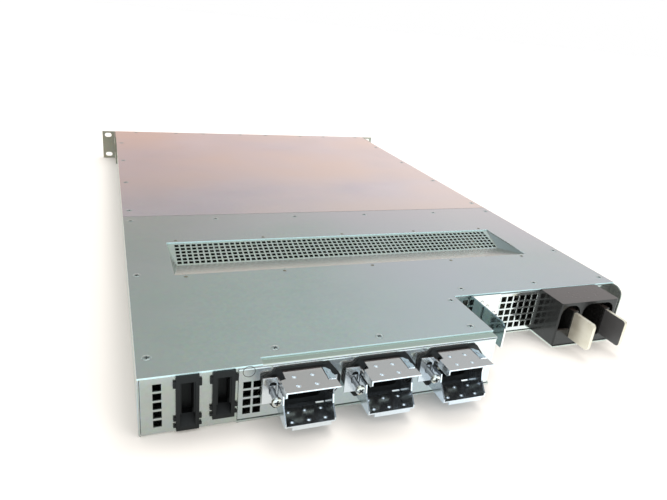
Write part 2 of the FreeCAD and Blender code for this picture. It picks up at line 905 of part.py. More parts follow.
def clamp_channel(centre):
    """Lower half of a cord clamp: floor, two side walls and tabs under the flange screws."""
    half = channel_half_width
    wall = clamp_sheet
    rear = -inlet_flange_thickness - clamp_gap
    front = -channel_depth
    riser = front + riser_from_front
    top = channel_floor + clamp_opening
    low = channel_floor - wall
    floor = box(centre - half, centre + half, front, rear, low, channel_floor)
    lip = box(
        centre - half + 5, centre + half - 3, front, front + wall, channel_floor - channel_lip,
        channel_floor,
    )
    left_wall = plate(
        [
            (rear, low), (front, low), (front, channel_floor + 2), (front + 8, channel_floor + 11),
            (front + 9, channel_left_top), (rear, channel_left_top),
        ],
        in_side_view, Vector(wall, 0, 0),
    )
    left_wall.translate(Vector(centre - half, 0, 0))
    right_wall = plate(
        [
            (rear, low), (front, low), (front, channel_floor + 2), (riser - 1.6, channel_floor + 9),
            (riser, channel_floor + 15), (riser, top + wall), (riser + 3.9, top + wall),
            (rear, channel_floor + 15),
        ],
        in_side_view, Vector(wall, 0, 0),
    )
    right_wall.translate(Vector(centre + half - wall, 0, 0))
    right = centre + half
    top_flange = plate(
        [
            (right - 5, riser), (right, riser), (right, riser + 4.4), (right - 0.8, riser + 5.4),
            (right - 0.8, riser + 9.9), (right - 3.6, rear - 1), (right - 5, rear - 1),
        ],
        in_plan_view, Vector(0, 0, wall),
    )
    top_flange.translate(Vector(0, 0, top))
    tab_rear = -inlet_flange_thickness
    tab_low = inlet_height - 6
    tabs = [
        box(
            centre - half - 7, centre - half + wall, tab_rear - wall, tab_rear,
            tab_low, channel_left_top,
        ),
        box(
            centre + half - wall, centre + half + 7, tab_rear - wall, tab_rear,
            tab_low, inlet_height + 6,
        ),
    ]
    holes = [
        rod(
            inlet_hole_radius, Vector(centre + side * inlet_hole_offset, tab_rear - 3, inlet_height),
            Vector(0, 1, 0), 6,
        )
        for side in (-1, 1)
    ]
    slot = box(centre + 10, centre + 16, rear - 3, rear - 1.2, low - 1, channel_floor + 1)
    bumps = [
        dimple(centre + across, front + along, channel_floor - 0.01, Vector(0, 0, 1))
        for across in (-11.5, 0, 11.5)
        for along in (4.5, 14.5)
    ]
    rivets = [
        rod(rivet_radius, Vector(right - 2.5, riser + along, top + wall - 0.01),
            Vector(0, 0, 1), rivet_height)
        for along in (1.8, 8.3)
    ]
    channel = joined([floor, lip, left_wall, right_wall, top_flange] + tabs + bumps + rivets)
    return channel.cut(holes + [slot])


def clamp_jaw(centre):
    """Upper half of a cord clamp: dimpled plate with a slotted tab that slides on the screw."""
    half = channel_half_width
    wall = clamp_sheet
    bottom = channel_floor + clamp_opening
    rear = -inlet_flange_thickness - clamp_gap
    front = -jaw_reach
    left = centre - half - clamp_gap - wall
    right = centre + half
    riser = riser_from_front - channel_depth
    waist = rear - jaw_waist_depth
    wide = plate(
        [
            (left, front), (right + 0.4, front), (right, riser - 1.5),
            (right - 5.6, riser - 0.7), (right - 5.6, rear),
            (left + jaw_waist, rear), (left + jaw_waist, waist), (left, waist - 1),
        ],
        in_plan_view, Vector(0, 0, wall),
    )
    wide.translate(Vector(0, 0, bottom))
    tab_front = -inlet_flange_thickness - 2 * wall - clamp_gap
    tab_left = centre - inlet_hole_offset - jaw_tab_reach
    flange_low = bottom + wall - jaw_flange
    side_wall = plate(
        [
            (front, bottom + wall), (front, flange_low + 2), (front + 2, flange_low),
            (tab_front + wall, flange_low), (tab_front + wall, jaw_tab_top),
            (waist - 1, jaw_tab_top), (waist - 1, bottom + wall),
        ],
        in_side_view, Vector(wall, 0, 0),
    )
    side_wall.translate(Vector(left, 0, 0))
    tab = box(tab_left, left + wall, tab_front, tab_front + wall, jaw_tab_bottom, jaw_tab_top)
    slot_low = inlet_height - jaw_slot_radius
    slot_high = inlet_height + clamp_travel + jaw_slot_radius
    slot = rounded_plate(
        2 * jaw_slot_radius, slot_high - slot_low, jaw_slot_radius,
        centre - inlet_hole_offset, (slot_low + slot_high) / 2,
        in_rear_view, Vector(0, wall + 2, 0),
    ).translated(Vector(0, tab_front - 1, 0))
    bumps = [
        dimple(centre + across, front + along, bottom + wall - 0.01, Vector(0, 0, 1))
        for across in (-9, 3.5)
        for along in (6, 16)
    ]
    return joined([wide, side_wall, tab] + bumps).cut(slot)


def clamp_screw(centre):
    """Long pan-head screw through the jaw, the channel, the inlet flange and the panel."""
    x = centre - inlet_hole_offset
    under_head = -inlet_flange_thickness - 2 * clamp_sheet - 2 * clamp_gap - clamp_screw_travel
    head = rod(
        clamp_screw_head_radius, Vector(x, under_head - clamp_screw_head_height, inlet_height),
        Vector(0, 1, 0), clamp_screw_head_height,
    )
    rim = [
        edge for edge in head.Edges
        if abs(edge.CenterOfMass.y - (under_head - clamp_screw_head_height)) < 0.01
        and edge.Closed
    ]
    head = head.makeFillet(1.2, rim)
    shank = rod(
        clamp_screw_radius, Vector(x, under_head, inlet_height), Vector(0, 1, 0),
        sheet + 4 - under_head,
    )
    return joined([head, shank])


def inlet_screws():
    """Pan-head screws in the right-hand flange hole of each inlet."""
    screws = []
    for centre in inlet_centres:
        x = centre + inlet_hole_offset
        seat = -inlet_flange_thickness - clamp_sheet
        head = rod(
            clamp_screw_head_radius, Vector(x, seat - clamp_screw_head_height, inlet_height),
            Vector(0, 1, 0), clamp_screw_head_height,
        )
        shank = rod(
            clamp_screw_radius, Vector(x, seat, inlet_height), Vector(0, 1, 0), sheet + 4 - seat
        )
        screws.append(joined([head, shank]))
    return Part.makeCompound(screws)


def signal_socket(centre, bottom):
    """Moulded black socket snapped into the rear flange, with a deep well and corner ears."""
    half = socket_width / 2
    height = socket_top - bottom
    face = -socket_proud
    bezel = box(centre - half, centre + half, face, 0, bottom, socket_top)
    ears = [
        box(centre - half - socket_ear, centre + half + socket_ear, face + 0.6, 0, low, high)
        for low, high in (
            (bottom + 2.5, bottom + 4.5), (bottom + 7.5, bottom + 10.5),
            (socket_top - 8.5, socket_top - 3.5),
        )
    ]
    body = box(
        centre - half + socket_ear, centre + half - socket_ear, -0.01, socket_body_depth,
        bottom + socket_ear, socket_top - socket_ear,
    )
    board_top = input_board_height + board_thickness
    tail = box(
        centre - half + 2 * socket_ear, centre + half - 2 * socket_ear, socket_body_depth - 1,
        input_board_rear + 6, board_top, board_top + 8,
    )
    well_half = socket_well_width / 2
    well = box(
        centre - well_half, centre + well_half, face - 1, socket_well_depth,
        bottom + height * 0.2, socket_top - height * 0.14,
    )
    lead_in = plate(
        [(face - 1, bottom + 2.2), (face - 1, bottom + height * 0.3),
         (5, bottom + height * 0.3), (5, bottom + height * 0.2 - 0.01)],
        in_side_view, Vector(socket_well_width + 2, 0, 0),
    ).translated(Vector(centre - well_half - 1, 0, 0))
    rim = box(
        centre - well_half - 1, centre + well_half + 1, face - 1, face + 1,
        bottom + height * 0.2, socket_top - height * 0.12,
    )
    return joined([bezel, body, tail] + ears).cut([well, lead_in, rim])


def cover_crossbar():
    """Folded bar under the seam of the covers, its leg against the backplane."""
    middle = sheet / 2
    leg = backplane_from_rear + backplane_thickness + middle
    profile = [
        (seam_from_rear + crossbar_lap, cover_bottom - middle), (leg, cover_bottom - middle),
        (leg, cover_bottom - crossbar_leg),
    ]
    length = body_width - 2 * flange_width - 2 * slide_gap
    bar = folded(profile, sheet, in_side_view, Vector(length, 0, 0))
    bar.translate(Vector(flange_width + slide_gap, 0, 0))
    return bar


def backplane_board():
    """Upright board across the shelf that the modules plug into, with air openings."""
    x0 = flange_width
    x1 = body_width - flange_width
    board = box(
        x0, x1, backplane_from_rear, backplane_from_rear + backplane_thickness,
        sheet, cover_bottom - backplane_top_gap,
    )
    slots = []
    for start, width in bay_places():
        centre = start + width / 2
        reach = min(width / 2 - backplane_air_side, header_width / 2 + backplane_air_reach)
        gap = header_width / 2 + backplane_air_gap
        if reach > gap + backplane_air_side:
            for side in (-1, 1):
                ends = sorted((centre + side * gap, centre + side * reach))
                slots.append(box(
                    ends[0], ends[1], backplane_from_rear - 1,
                    backplane_from_rear + backplane_thickness + 1, backplane_air_bottom,
                    cover_bottom - backplane_air_margin,
                ))
    return board.cut(slots)


def bay_places():
    """Left edge and width of each module, the rectifiers first and the controller last."""
    first = sheet + module_side_gap
    return [(first + bay_pitch * i, module_width) for i in range(bay_count)]


def backplane_headers():
    """Slotted headers on the front of the backplane, one for each bay."""
    face = backplane_from_rear + backplane_thickness
    headers = []
    for start, width in bay_places():
        reach = min(header_width, width - header_side_room) / 2
        centre = start + width / 2
        block = box(
            centre - reach, centre + reach, face, face + header_depth,
            header_bottom, header_bottom + header_height,
        )
        slot = box(
            centre - reach + header_wall, centre + reach - header_wall, face + header_floor,
            face + header_depth + 1,
            module_board_height - slide_gap, module_board_height + board_thickness + slide_gap,
        )
        headers.append(block.cut(slot))
    return Part.makeCompound(headers)


def input_board():
    """Flat board from the inlets to the backplane."""
    return box(
        side_vent_centre + input_board_left_gap, inlet_panel_end - input_board_right_gap,
        input_board_rear, backplane_from_rear, input_board_height,
        input_board_height + board_thickness,
    )


def board_standoffs():
    """Posts that carry the input board on the base."""
    x0 = side_vent_centre + input_board_left_gap + standoff_side_inset
    x1 = inlet_panel_end - input_board_right_gap - standoff_side_inset
    first = input_board_rear + standoff_end_inset
    last = backplane_from_rear - standoff_end_inset
    rows = (first, (first + last) / 2, last)
    return Part.makeCompound([
        rod(standoff_radius, Vector(x, y, sheet), Vector(0, 0, 1), input_board_height - sheet)
        for x in (x0, (x0 + x1) / 2, x1)
        for y in rows
    ])


def bay_divider(place):
    """Upright sheet between two bays with a top flange under the cover."""
    middle = sheet / 2
    profile = [
        (place + middle, sheet), (place + middle, cover_bottom - middle),
        (place - divider_flange, cover_bottom - middle),
    ]
    rear = seam_from_rear + divider_rear_gap
    front = body_depth - divider_front_gap
    divider = folded(profile, sheet, in_rear_view, Vector(0, front - rear, 0))
    divider.translate(Vector(0, rear, 0))
    return divider


def module_case(start, width):
    """Hollow case of a plug-in module, open at the front, with rear air slots."""
    z0 = module_bottom
    z1 = module_bottom + module_height
    outer = box(start, start + width, module_rear, module_front, z0, z1)
    inner = box(
        start + module_sheet, start + width - module_sheet, module_rear + module_sheet,
        module_front + 1, z0 + module_sheet, z1 - module_sheet,
    )
    centre = start + width / 2
    reach = min(header_width, width - header_side_room) / 2 + 1
    port = box(
        centre - reach, centre + reach, module_rear - 1, module_rear + module_sheet + 1,
        module_board_height - 3, module_board_height + 6,
    )
    slots = [
        box(
            start + 6 + i * 8, start + 11 + i * 8, module_rear - 1,
            module_rear + module_sheet + 1, z1 - 12, z1 - 5,
        )
        for i in range(int((width - 12) / 8))
    ]
    return outer.cut([inner, port] + slots)


def lever_pin(start, width):
    """Place of the lever's pin on a module face."""
    x = start + width - 8
    y = body_depth + lever_stand_off + lever_thickness / 2
    z = module_bottom + module_height / 2
    return Vector(x, y, z)


def lever_brackets(start, width):
    """Two lugs and the pin that carry the lever."""
    pin = lever_pin(start, width)
    half = lever_height / 2 + slide_gap
    lugs = [
        joined([
            box(pin.x - 3, pin.x + 3, body_depth - 0.5, pin.y, z0, z0 + 1.6),
            rod(3, Vector(pin.x, pin.y, z0), Vector(0, 0, 1), 1.6),
        ])
        for z0 in (pin.z - half - 1.6, pin.z + half)
    ]
    axle = rod(
        lever_pin_radius, Vector(pin.x, pin.y, pin.z - half - 1), Vector(0, 0, 1), 2 * half + 2
    )
    return lugs + [axle]


def module_lever(start, width):
    """Pull handle that lies along the module face and swings out about its pin."""
    pin = lever_pin(start, width)
    length = min(lever_length, width - 16)
    z0 = pin.z - lever_height / 2
    eye = rod(lever_thickness / 2, Vector(pin.x, pin.y, z0), Vector(0, 0, 1), lever_height)
    arm = box(
        pin.x - length, pin.x, pin.y - lever_thickness / 2 + 1.5, pin.y + lever_thickness / 2,
        z0, z0 + lever_height,
    )
    grip = rod(
        lever_thickness / 2 + 0.6, Vector(pin.x - length, pin.y + 0.6, z0), Vector(0, 0, 1),
        lever_height,
    )
    finger = rounded_plate(
        length - 18, lever_height - 7, 2.5, pin.x - length / 2, pin.z, in_rear_view,
        Vector(0, lever_thickness + 4, 0),
    ).translated(Vector(0, pin.y - lever_thickness / 2 - 2, 0))
    bore = rod(
        lever_pin_radius + spindle_clearance, Vector(pin.x, pin.y, z0 - 1), Vector(0, 0, 1),
        lever_height + 2,
    )
    return joined([arm, eye, grip]).cut([finger, bore])


def fan_centre(start, width):
    """Middle of the fan behind the face of a rectifier."""
    return Vector(
        start + fan_frame / 2 + 6, module_front, module_bottom + module_height / 2
    )


def rectifier_face(start, width):
    """Front plate of a rectifier: ringed fan guard, air slots and lever lugs."""
    z0 = module_bottom
    z1 = module_bottom + module_height
    face = box(start, start + width, module_front, body_depth, z0, z1)
    hub = fan_centre(start, width)
    through = Vector(0, module_face + 2, 0)
    cuts = []
    for outer, inner in ((fan_radius, 14.5), (13.0, 9.5)):
        ring = rod(outer, hub - Vector(0, 1, 0), Vector(0, 1, 0), module_face + 2)
        cuts.append(ring.cut(rod(inner, hub - Vector(0, 1, 0), Vector(0, 1, 0), module_face + 2)))
    spokes = [
        box(hub.x - fan_radius, hub.x + fan_radius, module_front - 2, body_depth + 2,
            hub.z - 1, hub.z + 1),
        box(hub.x - 1, hub.x + 1, module_front - 2, body_depth + 2,
            hub.z - fan_radius, hub.z + fan_radius),
    ]
    cuts = [cut.cut(spokes) for cut in cuts]
    first = hub.x + fan_frame / 2 + 6
    count = int((start + width - 10 - first) / 5)
    for i in range(count):
        slot = rounded_plate(
            2.6, 8.0, 1.25, first + 5 * i, z1 - 8, in_rear_view, through,
        ).translated(Vector(0, module_front - 1, 0))
        cuts.append(slot)
    return joined([face.cut(cuts)] + lever_brackets(start, width))


def fan_housing(start, width):
    """Square fan frame behind the face, with struts that carry the spindle."""
    hub = fan_centre(start, width)
    half = fan_frame / 2 - 0.8
    back = module_front - fan_depth
    frame = box(hub.x - half, hub.x + half, back, module_front, hub.z - half, hub.z + half)
    bore = rod(fan_radius + 0.6, Vector(hub.x, back - 1, hub.z), Vector(0, 1, 0), fan_depth + 2)
    struts = [
        box(hub.x - half, hub.x + half, back, back + 2, hub.z - 1.2, hub.z + 1.2),
        box(hub.x - 1.2, hub.x + 1.2, back, back + 2, hub.z - half, hub.z + half),
    ]
    spindle = rod(spindle_radius, Vector(hub.x, back, hub.z), Vector(0, 1, 0), fan_depth - 4)
    boss = rod(fan_hub_radius, Vector(hub.x, back, hub.z), Vector(0, 1, 0), 2)
    return joined([frame.cut(bore)] + struts + [boss, spindle])


def fan_rotor(start, width):
    """Fan wheel: hub bored for the spindle and tilted blades."""
    hub = fan_centre(start, width)
    back = module_front - fan_depth + 2 + slide_gap
    length = fan_depth - 2 - 2 * slide_gap - 1
    core = rod(fan_hub_radius, Vector(hub.x, back, hub.z), Vector(0, 1, 0), length)
    blades = []
    for i in range(fan_blades):
        blade = box(-3.5, 3.5, -length / 2 + 1.2, length / 2 - 1.2, fan_hub_radius - 1, fan_radius)
        slim = Part.makeBox(
            1.2, length - 2, fan_radius - fan_hub_radius + 0.6,
            Vector(-0.6, -length / 2 + 1, fan_hub_radius - 1),
        )
        slim.rotate(Vector(0, 0, 0), Vector(0, 0, 1), 38)
        blade = slim.common(blade)
        blade.rotate(Vector(0, 0, 0), Vector(0, 1, 0), 360.0 * i / fan_blades)
        blade.translate(Vector(hub.x, back + length / 2, hub.z))
        blades.append(blade)
    bore = rod(
        spindle_radius + spindle_clearance, Vector(hub.x, back - 1, hub.z), Vector(0, 1, 0),
        length - 1,
    )
    return joined([core] + blades).cut(bore)


def rectifier_board(start, width):
    """Power board of a rectifier with its larger components and rear contact tongue."""
    z0 = module_board_height
    centre = start + width / 2
    reach = min(header_width, width - header_side_room) / 2 - tongue_inset
    x0 = start + module_sheet + module_board_gap
    x1 = start + width - module_sheet - module_board_gap
    rear = module_rear + module_sheet + module_board_gap
    front = module_front - fan_depth - module_board_front_gap
    board = box(x0, x1, rear, front, z0, z0 + board_thickness)
    tongue = box(
        centre - reach, centre + reach, module_rear - tongue_reach, rear + 1,
        z0, z0 + board_thickness,
    )
    top = z0 + board_thickness
    across = x1 - x0
    along = front - rear
    floor = module_bottom + module_sheet
    room = module_bottom + module_height - module_sheet - top
    parts = [
        box(
            x0 + across * left, x0 + across * right, rear + along * near, rear + along * far,
            top, top + room * share,
        )
        for left, right, near, far, share in board_blocks
    ]
    cans = [
        rod(
            can_radius, Vector(x0 + across * can_place, rear + along * share, top),
            Vector(0, 0, 1), room * can_height_share,
        )
        for share in can_rows
    ]
    feet = [
        rod(foot_radius, Vector(x, y, floor), Vector(0, 0, 1), z0 - floor)
        for x in (x0 + foot_side_inset, x1 - foot_side_inset)
        for y in (rear + foot_end_inset, front - foot_end_inset)
    ]
    return joined([board, tongue] + parts + cans + feet)


def controller_face(start, width):
    """Front plate of the controller with two data ports, a row of lamps and lever lugs."""
    z0 = module_bottom
    z1 = module_bottom + module_height
    face = box(start, start + width, module_front, body_depth, z0, z1)
    ports = [
        box(start + 6 + i * 17, start + 19 + i * 17, module_front - 1, body_depth + 1,
            z1 - 13.5, z1 - 3)
        for i in range(2)
    ]
    lamps = [
        rod(1.2, Vector(start + 7 + i * 5, module_front - 1, z0 + 4), Vector(0, 1, 0),
            module_face + 2)
        for i in range(4)
    ]
    return joined([face.cut(ports + lamps)] + lever_brackets(start, width))


def cover_screws():
    """Flat-headed screws of both covers."""
    screws = []
    for x, y in rear_screw_places() + front_screw_places():
        head = Part.makeCone(
            screw_core_radius, screw_head_radius, sheet - screw_sink, Vector(x, y, cover_bottom),
            Vector(0, 0, 1),
        )
        screws.append(head)
    return Part.makeCompound(screws)


def rivets():
    """Low round rivets of the sunken vent, the cable guard and the ears."""
    heads = []
    for x, y in pocket_rivet_places():
        heads.append(rod(rivet_radius, Vector(x, y, body_height), Vector(0, 0, 1), rivet_height / 2))
    for x, z in guard_rivet_places():
        heads.append(rod(
            rivet_radius, Vector(x, recess_face - guard_sheet - rivet_height, z),
            Vector(0, 1, 0), rivet_height,
        ))
    for edge, way in ((-ear_sheet, -1), (body_width + ear_sheet, 1)):
        for z in (10.0, body_height - 10.0):
            for y in (body_depth - ear_leg + 7, body_depth - ear_leg + 25):
                heads.append(rod(
                    2 * rivet_radius, Vector(edge, y, z), Vector(way, 0, 0), rivet_height
                ))
    return Part.makeCompound(heads)


def sub_parts():
    """Name and shape of every piece."""
    parts = {
        "chassis_tray": chassis_tray(),
        "rear_cover": rear_cover(),
        "front_cover": front_cover(),
        "vent_grille": vent_grille(),
        "rack_ear_left": rack_ear(-1),
        "rack_ear_right": rack_ear(1),
        "inlet_panel": inlet_panel(),
        "output_panel": output_panel(),
        "cable_guard": cable_guard(),
        "output_shroud": output_shroud(),
        "busbar_negative": busbar(busbar_left),
        "busbar_positive": busbar(busbar_right),
        "busbar_support": busbar_support(),
        "inlet_pins": inlet_pins(),
        "inlet_screws": inlet_screws(),
        "cover_crossbar": cover_crossbar(),
        "backplane_board": backplane_board(),
        "backplane_headers": backplane_headers(),
        "input_board": input_board(),
        "board_standoffs": board_standoffs(),
        "cover_screws": cover_screws(),
        "rivets": rivets(),
    }
    for i, centre in enumerate(inlet_centres, 1):
        parts["ac_inlet_%d" % i] = ac_inlet(centre)
        parts["cord_clamp_channel_%d" % i] = clamp_channel(centre)
        parts["cord_clamp_jaw_%d" % i] = clamp_jaw(centre)
        parts["clamp_screw_%d" % i] = clamp_screw(centre)
    for i, (centre, bottom) in enumerate(zip(socket_centres, socket_bottoms), 1):
        parts["signal_socket_%d" % i] = signal_socket(centre, bottom)
    for i, place in enumerate(divider_places(), 1):
        parts["bay_divider_%d" % i] = bay_divider(place)
    bays = bay_places()
    for i, (start, width) in enumerate(bays[:-1], 1):
        name = "rectifier_%d_" % i
        parts[name + "case"] = module_case(start, width)
        parts[name + "face"] = rectifier_face(start, width)
        parts[name + "fan_frame"] = fan_housing(start, width)
        parts[name + "fan_rotor"] = fan_rotor(start, width)
        parts[name + "board"] = rectifier_board(start, width)
        parts[name + "lever"] = module_lever(start, width)
    start, width = bays[-1]
    parts["controller_case"] = module_case(start, width)
    parts["controller_face"] = controller_face(start, width)
    parts["controller_lever"] = module_lever(start, width)
    return parts


def main():
    """Writes every piece with the origin at the middle of the base."""
    os.makedirs("parts", exist_ok=True)
    to_middle = Vector(-body_width / 2, -body_depth / 2, 0)
    for name, shape in sub_parts().items():
        shape.translate(to_middle)
        shape.exportStep("parts/%s.step" % name)


main()
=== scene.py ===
import json
import math

import bmesh
import bpy
from mathutils import Matrix, Vector


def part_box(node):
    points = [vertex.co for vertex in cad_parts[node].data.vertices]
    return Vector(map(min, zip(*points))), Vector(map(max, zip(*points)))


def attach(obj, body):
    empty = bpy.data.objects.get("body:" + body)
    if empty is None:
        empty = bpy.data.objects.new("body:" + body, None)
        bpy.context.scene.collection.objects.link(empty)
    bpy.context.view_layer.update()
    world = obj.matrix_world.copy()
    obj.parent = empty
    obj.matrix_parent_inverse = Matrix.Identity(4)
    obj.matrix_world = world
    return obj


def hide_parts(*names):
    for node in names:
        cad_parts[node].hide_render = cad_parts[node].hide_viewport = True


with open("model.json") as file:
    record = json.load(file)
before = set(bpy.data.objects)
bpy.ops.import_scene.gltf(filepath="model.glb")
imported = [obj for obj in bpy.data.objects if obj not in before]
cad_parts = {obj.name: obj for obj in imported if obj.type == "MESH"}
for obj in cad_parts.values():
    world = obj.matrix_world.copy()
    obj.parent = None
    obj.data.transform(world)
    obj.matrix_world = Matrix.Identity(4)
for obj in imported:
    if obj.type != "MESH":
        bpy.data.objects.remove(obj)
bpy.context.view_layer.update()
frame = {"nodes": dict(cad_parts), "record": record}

# Camera, close behind the left end of the shelf: it looks forward along it, right and down
CAMERA_PLACE = (-0.22825, -0.65703, 0.25756)
CAMERA_TURN = (67.5915, -5.5669, -20.1290)
LENS_MM = 30.97
SENSOR_MM = 36.0
CLIP_START = 0.01

# Points in the circles of heads and shanks, and the widest angle that is shaded smooth
HEAD_SEGMENTS = 32
SHANK_SEGMENTS = 24
SMOOTH_DEGREES = 35

# Screws, in metres
FLAT_HEAD_RADIUS = 0.0030
FLAT_HEAD_RIM = 0.0002
DOME_RISE = 0.0002
PAN_HEAD_HEIGHT = 0.0024
THREAD_RADIUS = 0.00195
THREAD_PITCH = 0.0007
THREAD_DEPTH = 0.00028

# Profiles of heads, as shares of their radius and height
PAN_PROFILE = ((1.0, 0.0), (1.0, 0.45), (0.93, 0.80), (0.62, 1.0))
RIVET_PROFILE = ((1.0, 0.0), (0.97, 0.35), (0.8, 0.75), (0.45, 0.97))
FLAT_HEAD_FOOT = 0.5
DOME_SHOULDER = 0.92
DOME_TOP = 0.76

# Thickness of a flat head, as a share of its CAD screw's height
FLAT_HEAD_THICKNESS = 0.9

# Cross recess: its arm as a share of the head's radius, its width and its narrower floor as
# shares of the arm, and its depth as a share of the head's height
RECESS_ARM = 0.58
RECESS_WIDTH = 0.26
RECESS_FLOOR = 0.62
RECESS_DEPTH = 0.7

# Turns of the cross recesses in radians: from one screw to the next, or of each screw
COVER_SCREW_TURN = 1.1
INLET_SCREW_TURN = 0.9
CLAMP_SCREW_TURNS = (1.4, 2.4, 3.4)

# Places of the further materials in a piece
RECESS_INDEX = 1
THREAD_INDEX = 2
COVER_RIVET_INDEX = 1

# Printed ring: its lift off the inlet panel, its centre's distance from the panel's left end,
# and that centre's height over the floor
RING_RADIUS = 0.0042
RING_WIDTH = 0.0004
RING_LIFT = 0.00006
RING_ASIDE = 0.0067
RING_HEIGHT = 0.0394

# Sides of the shelf that faces are told apart by: axis, sign, and where the share starts and ends
UPWARD = ("Z", 1.0)
REARWARD = ("Y", -1.0)
NEAR_SLOPE = ("Y", 1.0, 0.15, 0.30)
RIGHT_SLOPE = ("X", -1.0, 0.20, 0.35)

# Sockets of the Mix node that take and give colours
MIX_FIRST = 6
MIX_SECOND = 7
MIX_RESULT = 2


# Node helpers


def new_material(name):
    """New material with its node tree and its shader."""
    material = bpy.data.materials.new(name)
    material.use_nodes = True
    tree = material.node_tree
    return material, tree, tree.nodes["Principled BSDF"]


def add(tree, kind, **values):
    """New node with some of its inputs or properties set."""
    node = tree.nodes.new(kind)
    for key, value in values.items():
        if hasattr(node, key):
            setattr(node, key, value)
        else:
            node.inputs[key.replace("_", " ")].default_value = value
    return node


def coordinates(tree, scale=(1, 1, 1)):
    """Place on the object in metres, stretched along each axis."""
    place = add(tree, "ShaderNodeTexCoord")
    mapping = add(tree, "ShaderNodeMapping", Scale=scale)
    tree.links.new(place.outputs["Object"], mapping.inputs["Vector"])
    return mapping.outputs["Vector"]


def noise(tree, scale, detail=3.0, roughness=0.5, stretch=(1, 1, 1)):
    """Noise pattern over the object, finer the larger its scale."""
    node = add(tree, "ShaderNodeTexNoise", Scale=scale, Detail=detail, Roughness=roughness)
    tree.links.new(coordinates(tree, stretch), node.inputs["Vector"])
    return node.outputs["Fac"]


def ramp(tree, value, stops):
    """Colours spread over a value, as (place, colour) pairs."""
    node = add(tree, "ShaderNodeValToRGB")
    elements = node.color_ramp.elements
    while len(elements) < len(stops):
        elements.new(0.5)
    for element, (place, colour) in zip(elements, stops):
        element.position = place
        element.color = (*colour, 1.0)
    tree.links.new(value, node.inputs["Fac"])
    return node.outputs["Color"]


def grey(level):
    """Neutral colour of one brightness."""
    return (level, level, level)


def greys(tree, value, *stops):
    """Neutral levels spread over a value, as (place, level) pairs."""
    return ramp(tree, value, [(place, grey(level)) for place, level in stops])


def blend(tree, share, first, second, mode="MIX"):
    """Two colours mixed by a share of the second."""
    node = add(tree, "ShaderNodeMix", data_type="RGBA", blend_type=mode)
    if isinstance(share, float):
        node.inputs["Factor"].default_value = share
    else:
        tree.links.new(share, node.inputs["Factor"])
    for place, colour in ((MIX_FIRST, first), (MIX_SECOND, second)):
        if isinstance(colour, tuple):
            node.inputs[place].default_value = (*colour, 1.0)
        else:
            tree.links.new(colour, node.inputs[place])
    return node.outputs[MIX_RESULT]


def between(tree, value, start, end, step="SMOOTHSTEP"):
    """Step from nought at the first place to one at the second."""
    node = add(tree, "ShaderNodeMapRange", interpolation_type=step, From_Min=start, From_Max=end)
    tree.links.new(value, node.inputs["Value"])
    return node.outputs["Result"]


def product(tree, shares):
    """Shares multiplied with one another."""
    result = shares[0]
    for share in shares[1:]:
        node = add(tree, "ShaderNodeMath", operation="MULTIPLY")
        tree.links.new(result, node.inputs[0])
        tree.links.new(share, node.inputs[1])
        result = node.outputs["Value"]
    return result


def axes(tree, vector):
    """X, Y and Z of a vector."""
    split = add(tree, "ShaderNodeSeparateXYZ")
    tree.links.new(vector, split.inputs["Vector"])
    return split.outputs


def within(tree, place, limits):
    """Share of one inside some limits, as (axis, nought at, one at), and of nought outside."""
    return product(tree, [between(tree, place[axis], start, end) for axis, start, end in limits])


def face_axes(tree):
    """X, Y and Z of the direction that a face looks in."""
    return axes(tree, add(tree, "ShaderNodeNewGeometry").outputs["True Normal"])


def facing_share(tree, axis, sign=1.0, start=0.85, end=0.95):
    """Nought to one as a face turns towards an axis of the shelf."""
    return between(tree, face_axes(tree)[axis], sign * start, sign * end)


def with_painted_light(tree, base, tints):
    """Colour with painted light: a tint on the faces that look towards some sides, for the light
    and reflections they show.
    """
    for side, tint in tints:
        base = blend(tree, facing_share(tree, *side), base, tint)
    return base


def surface_relief(tree, shader, height, strength, distance, edge_radius):
    """Small bumps over the surface and softly rounded edges."""
    edge = add(tree, "ShaderNodeBevel", samples=6, Radius=edge_radius)
    bump = add(tree, "ShaderNodeBump", Strength=strength, Distance=distance)
    tree.links.new(height, bump.inputs["Height"])
    tree.links.new(edge.outputs["Normal"], bump.inputs["Normal"])
    tree.links.new(bump.outputs["Normal"], shader.inputs["Normal"])


# Materials


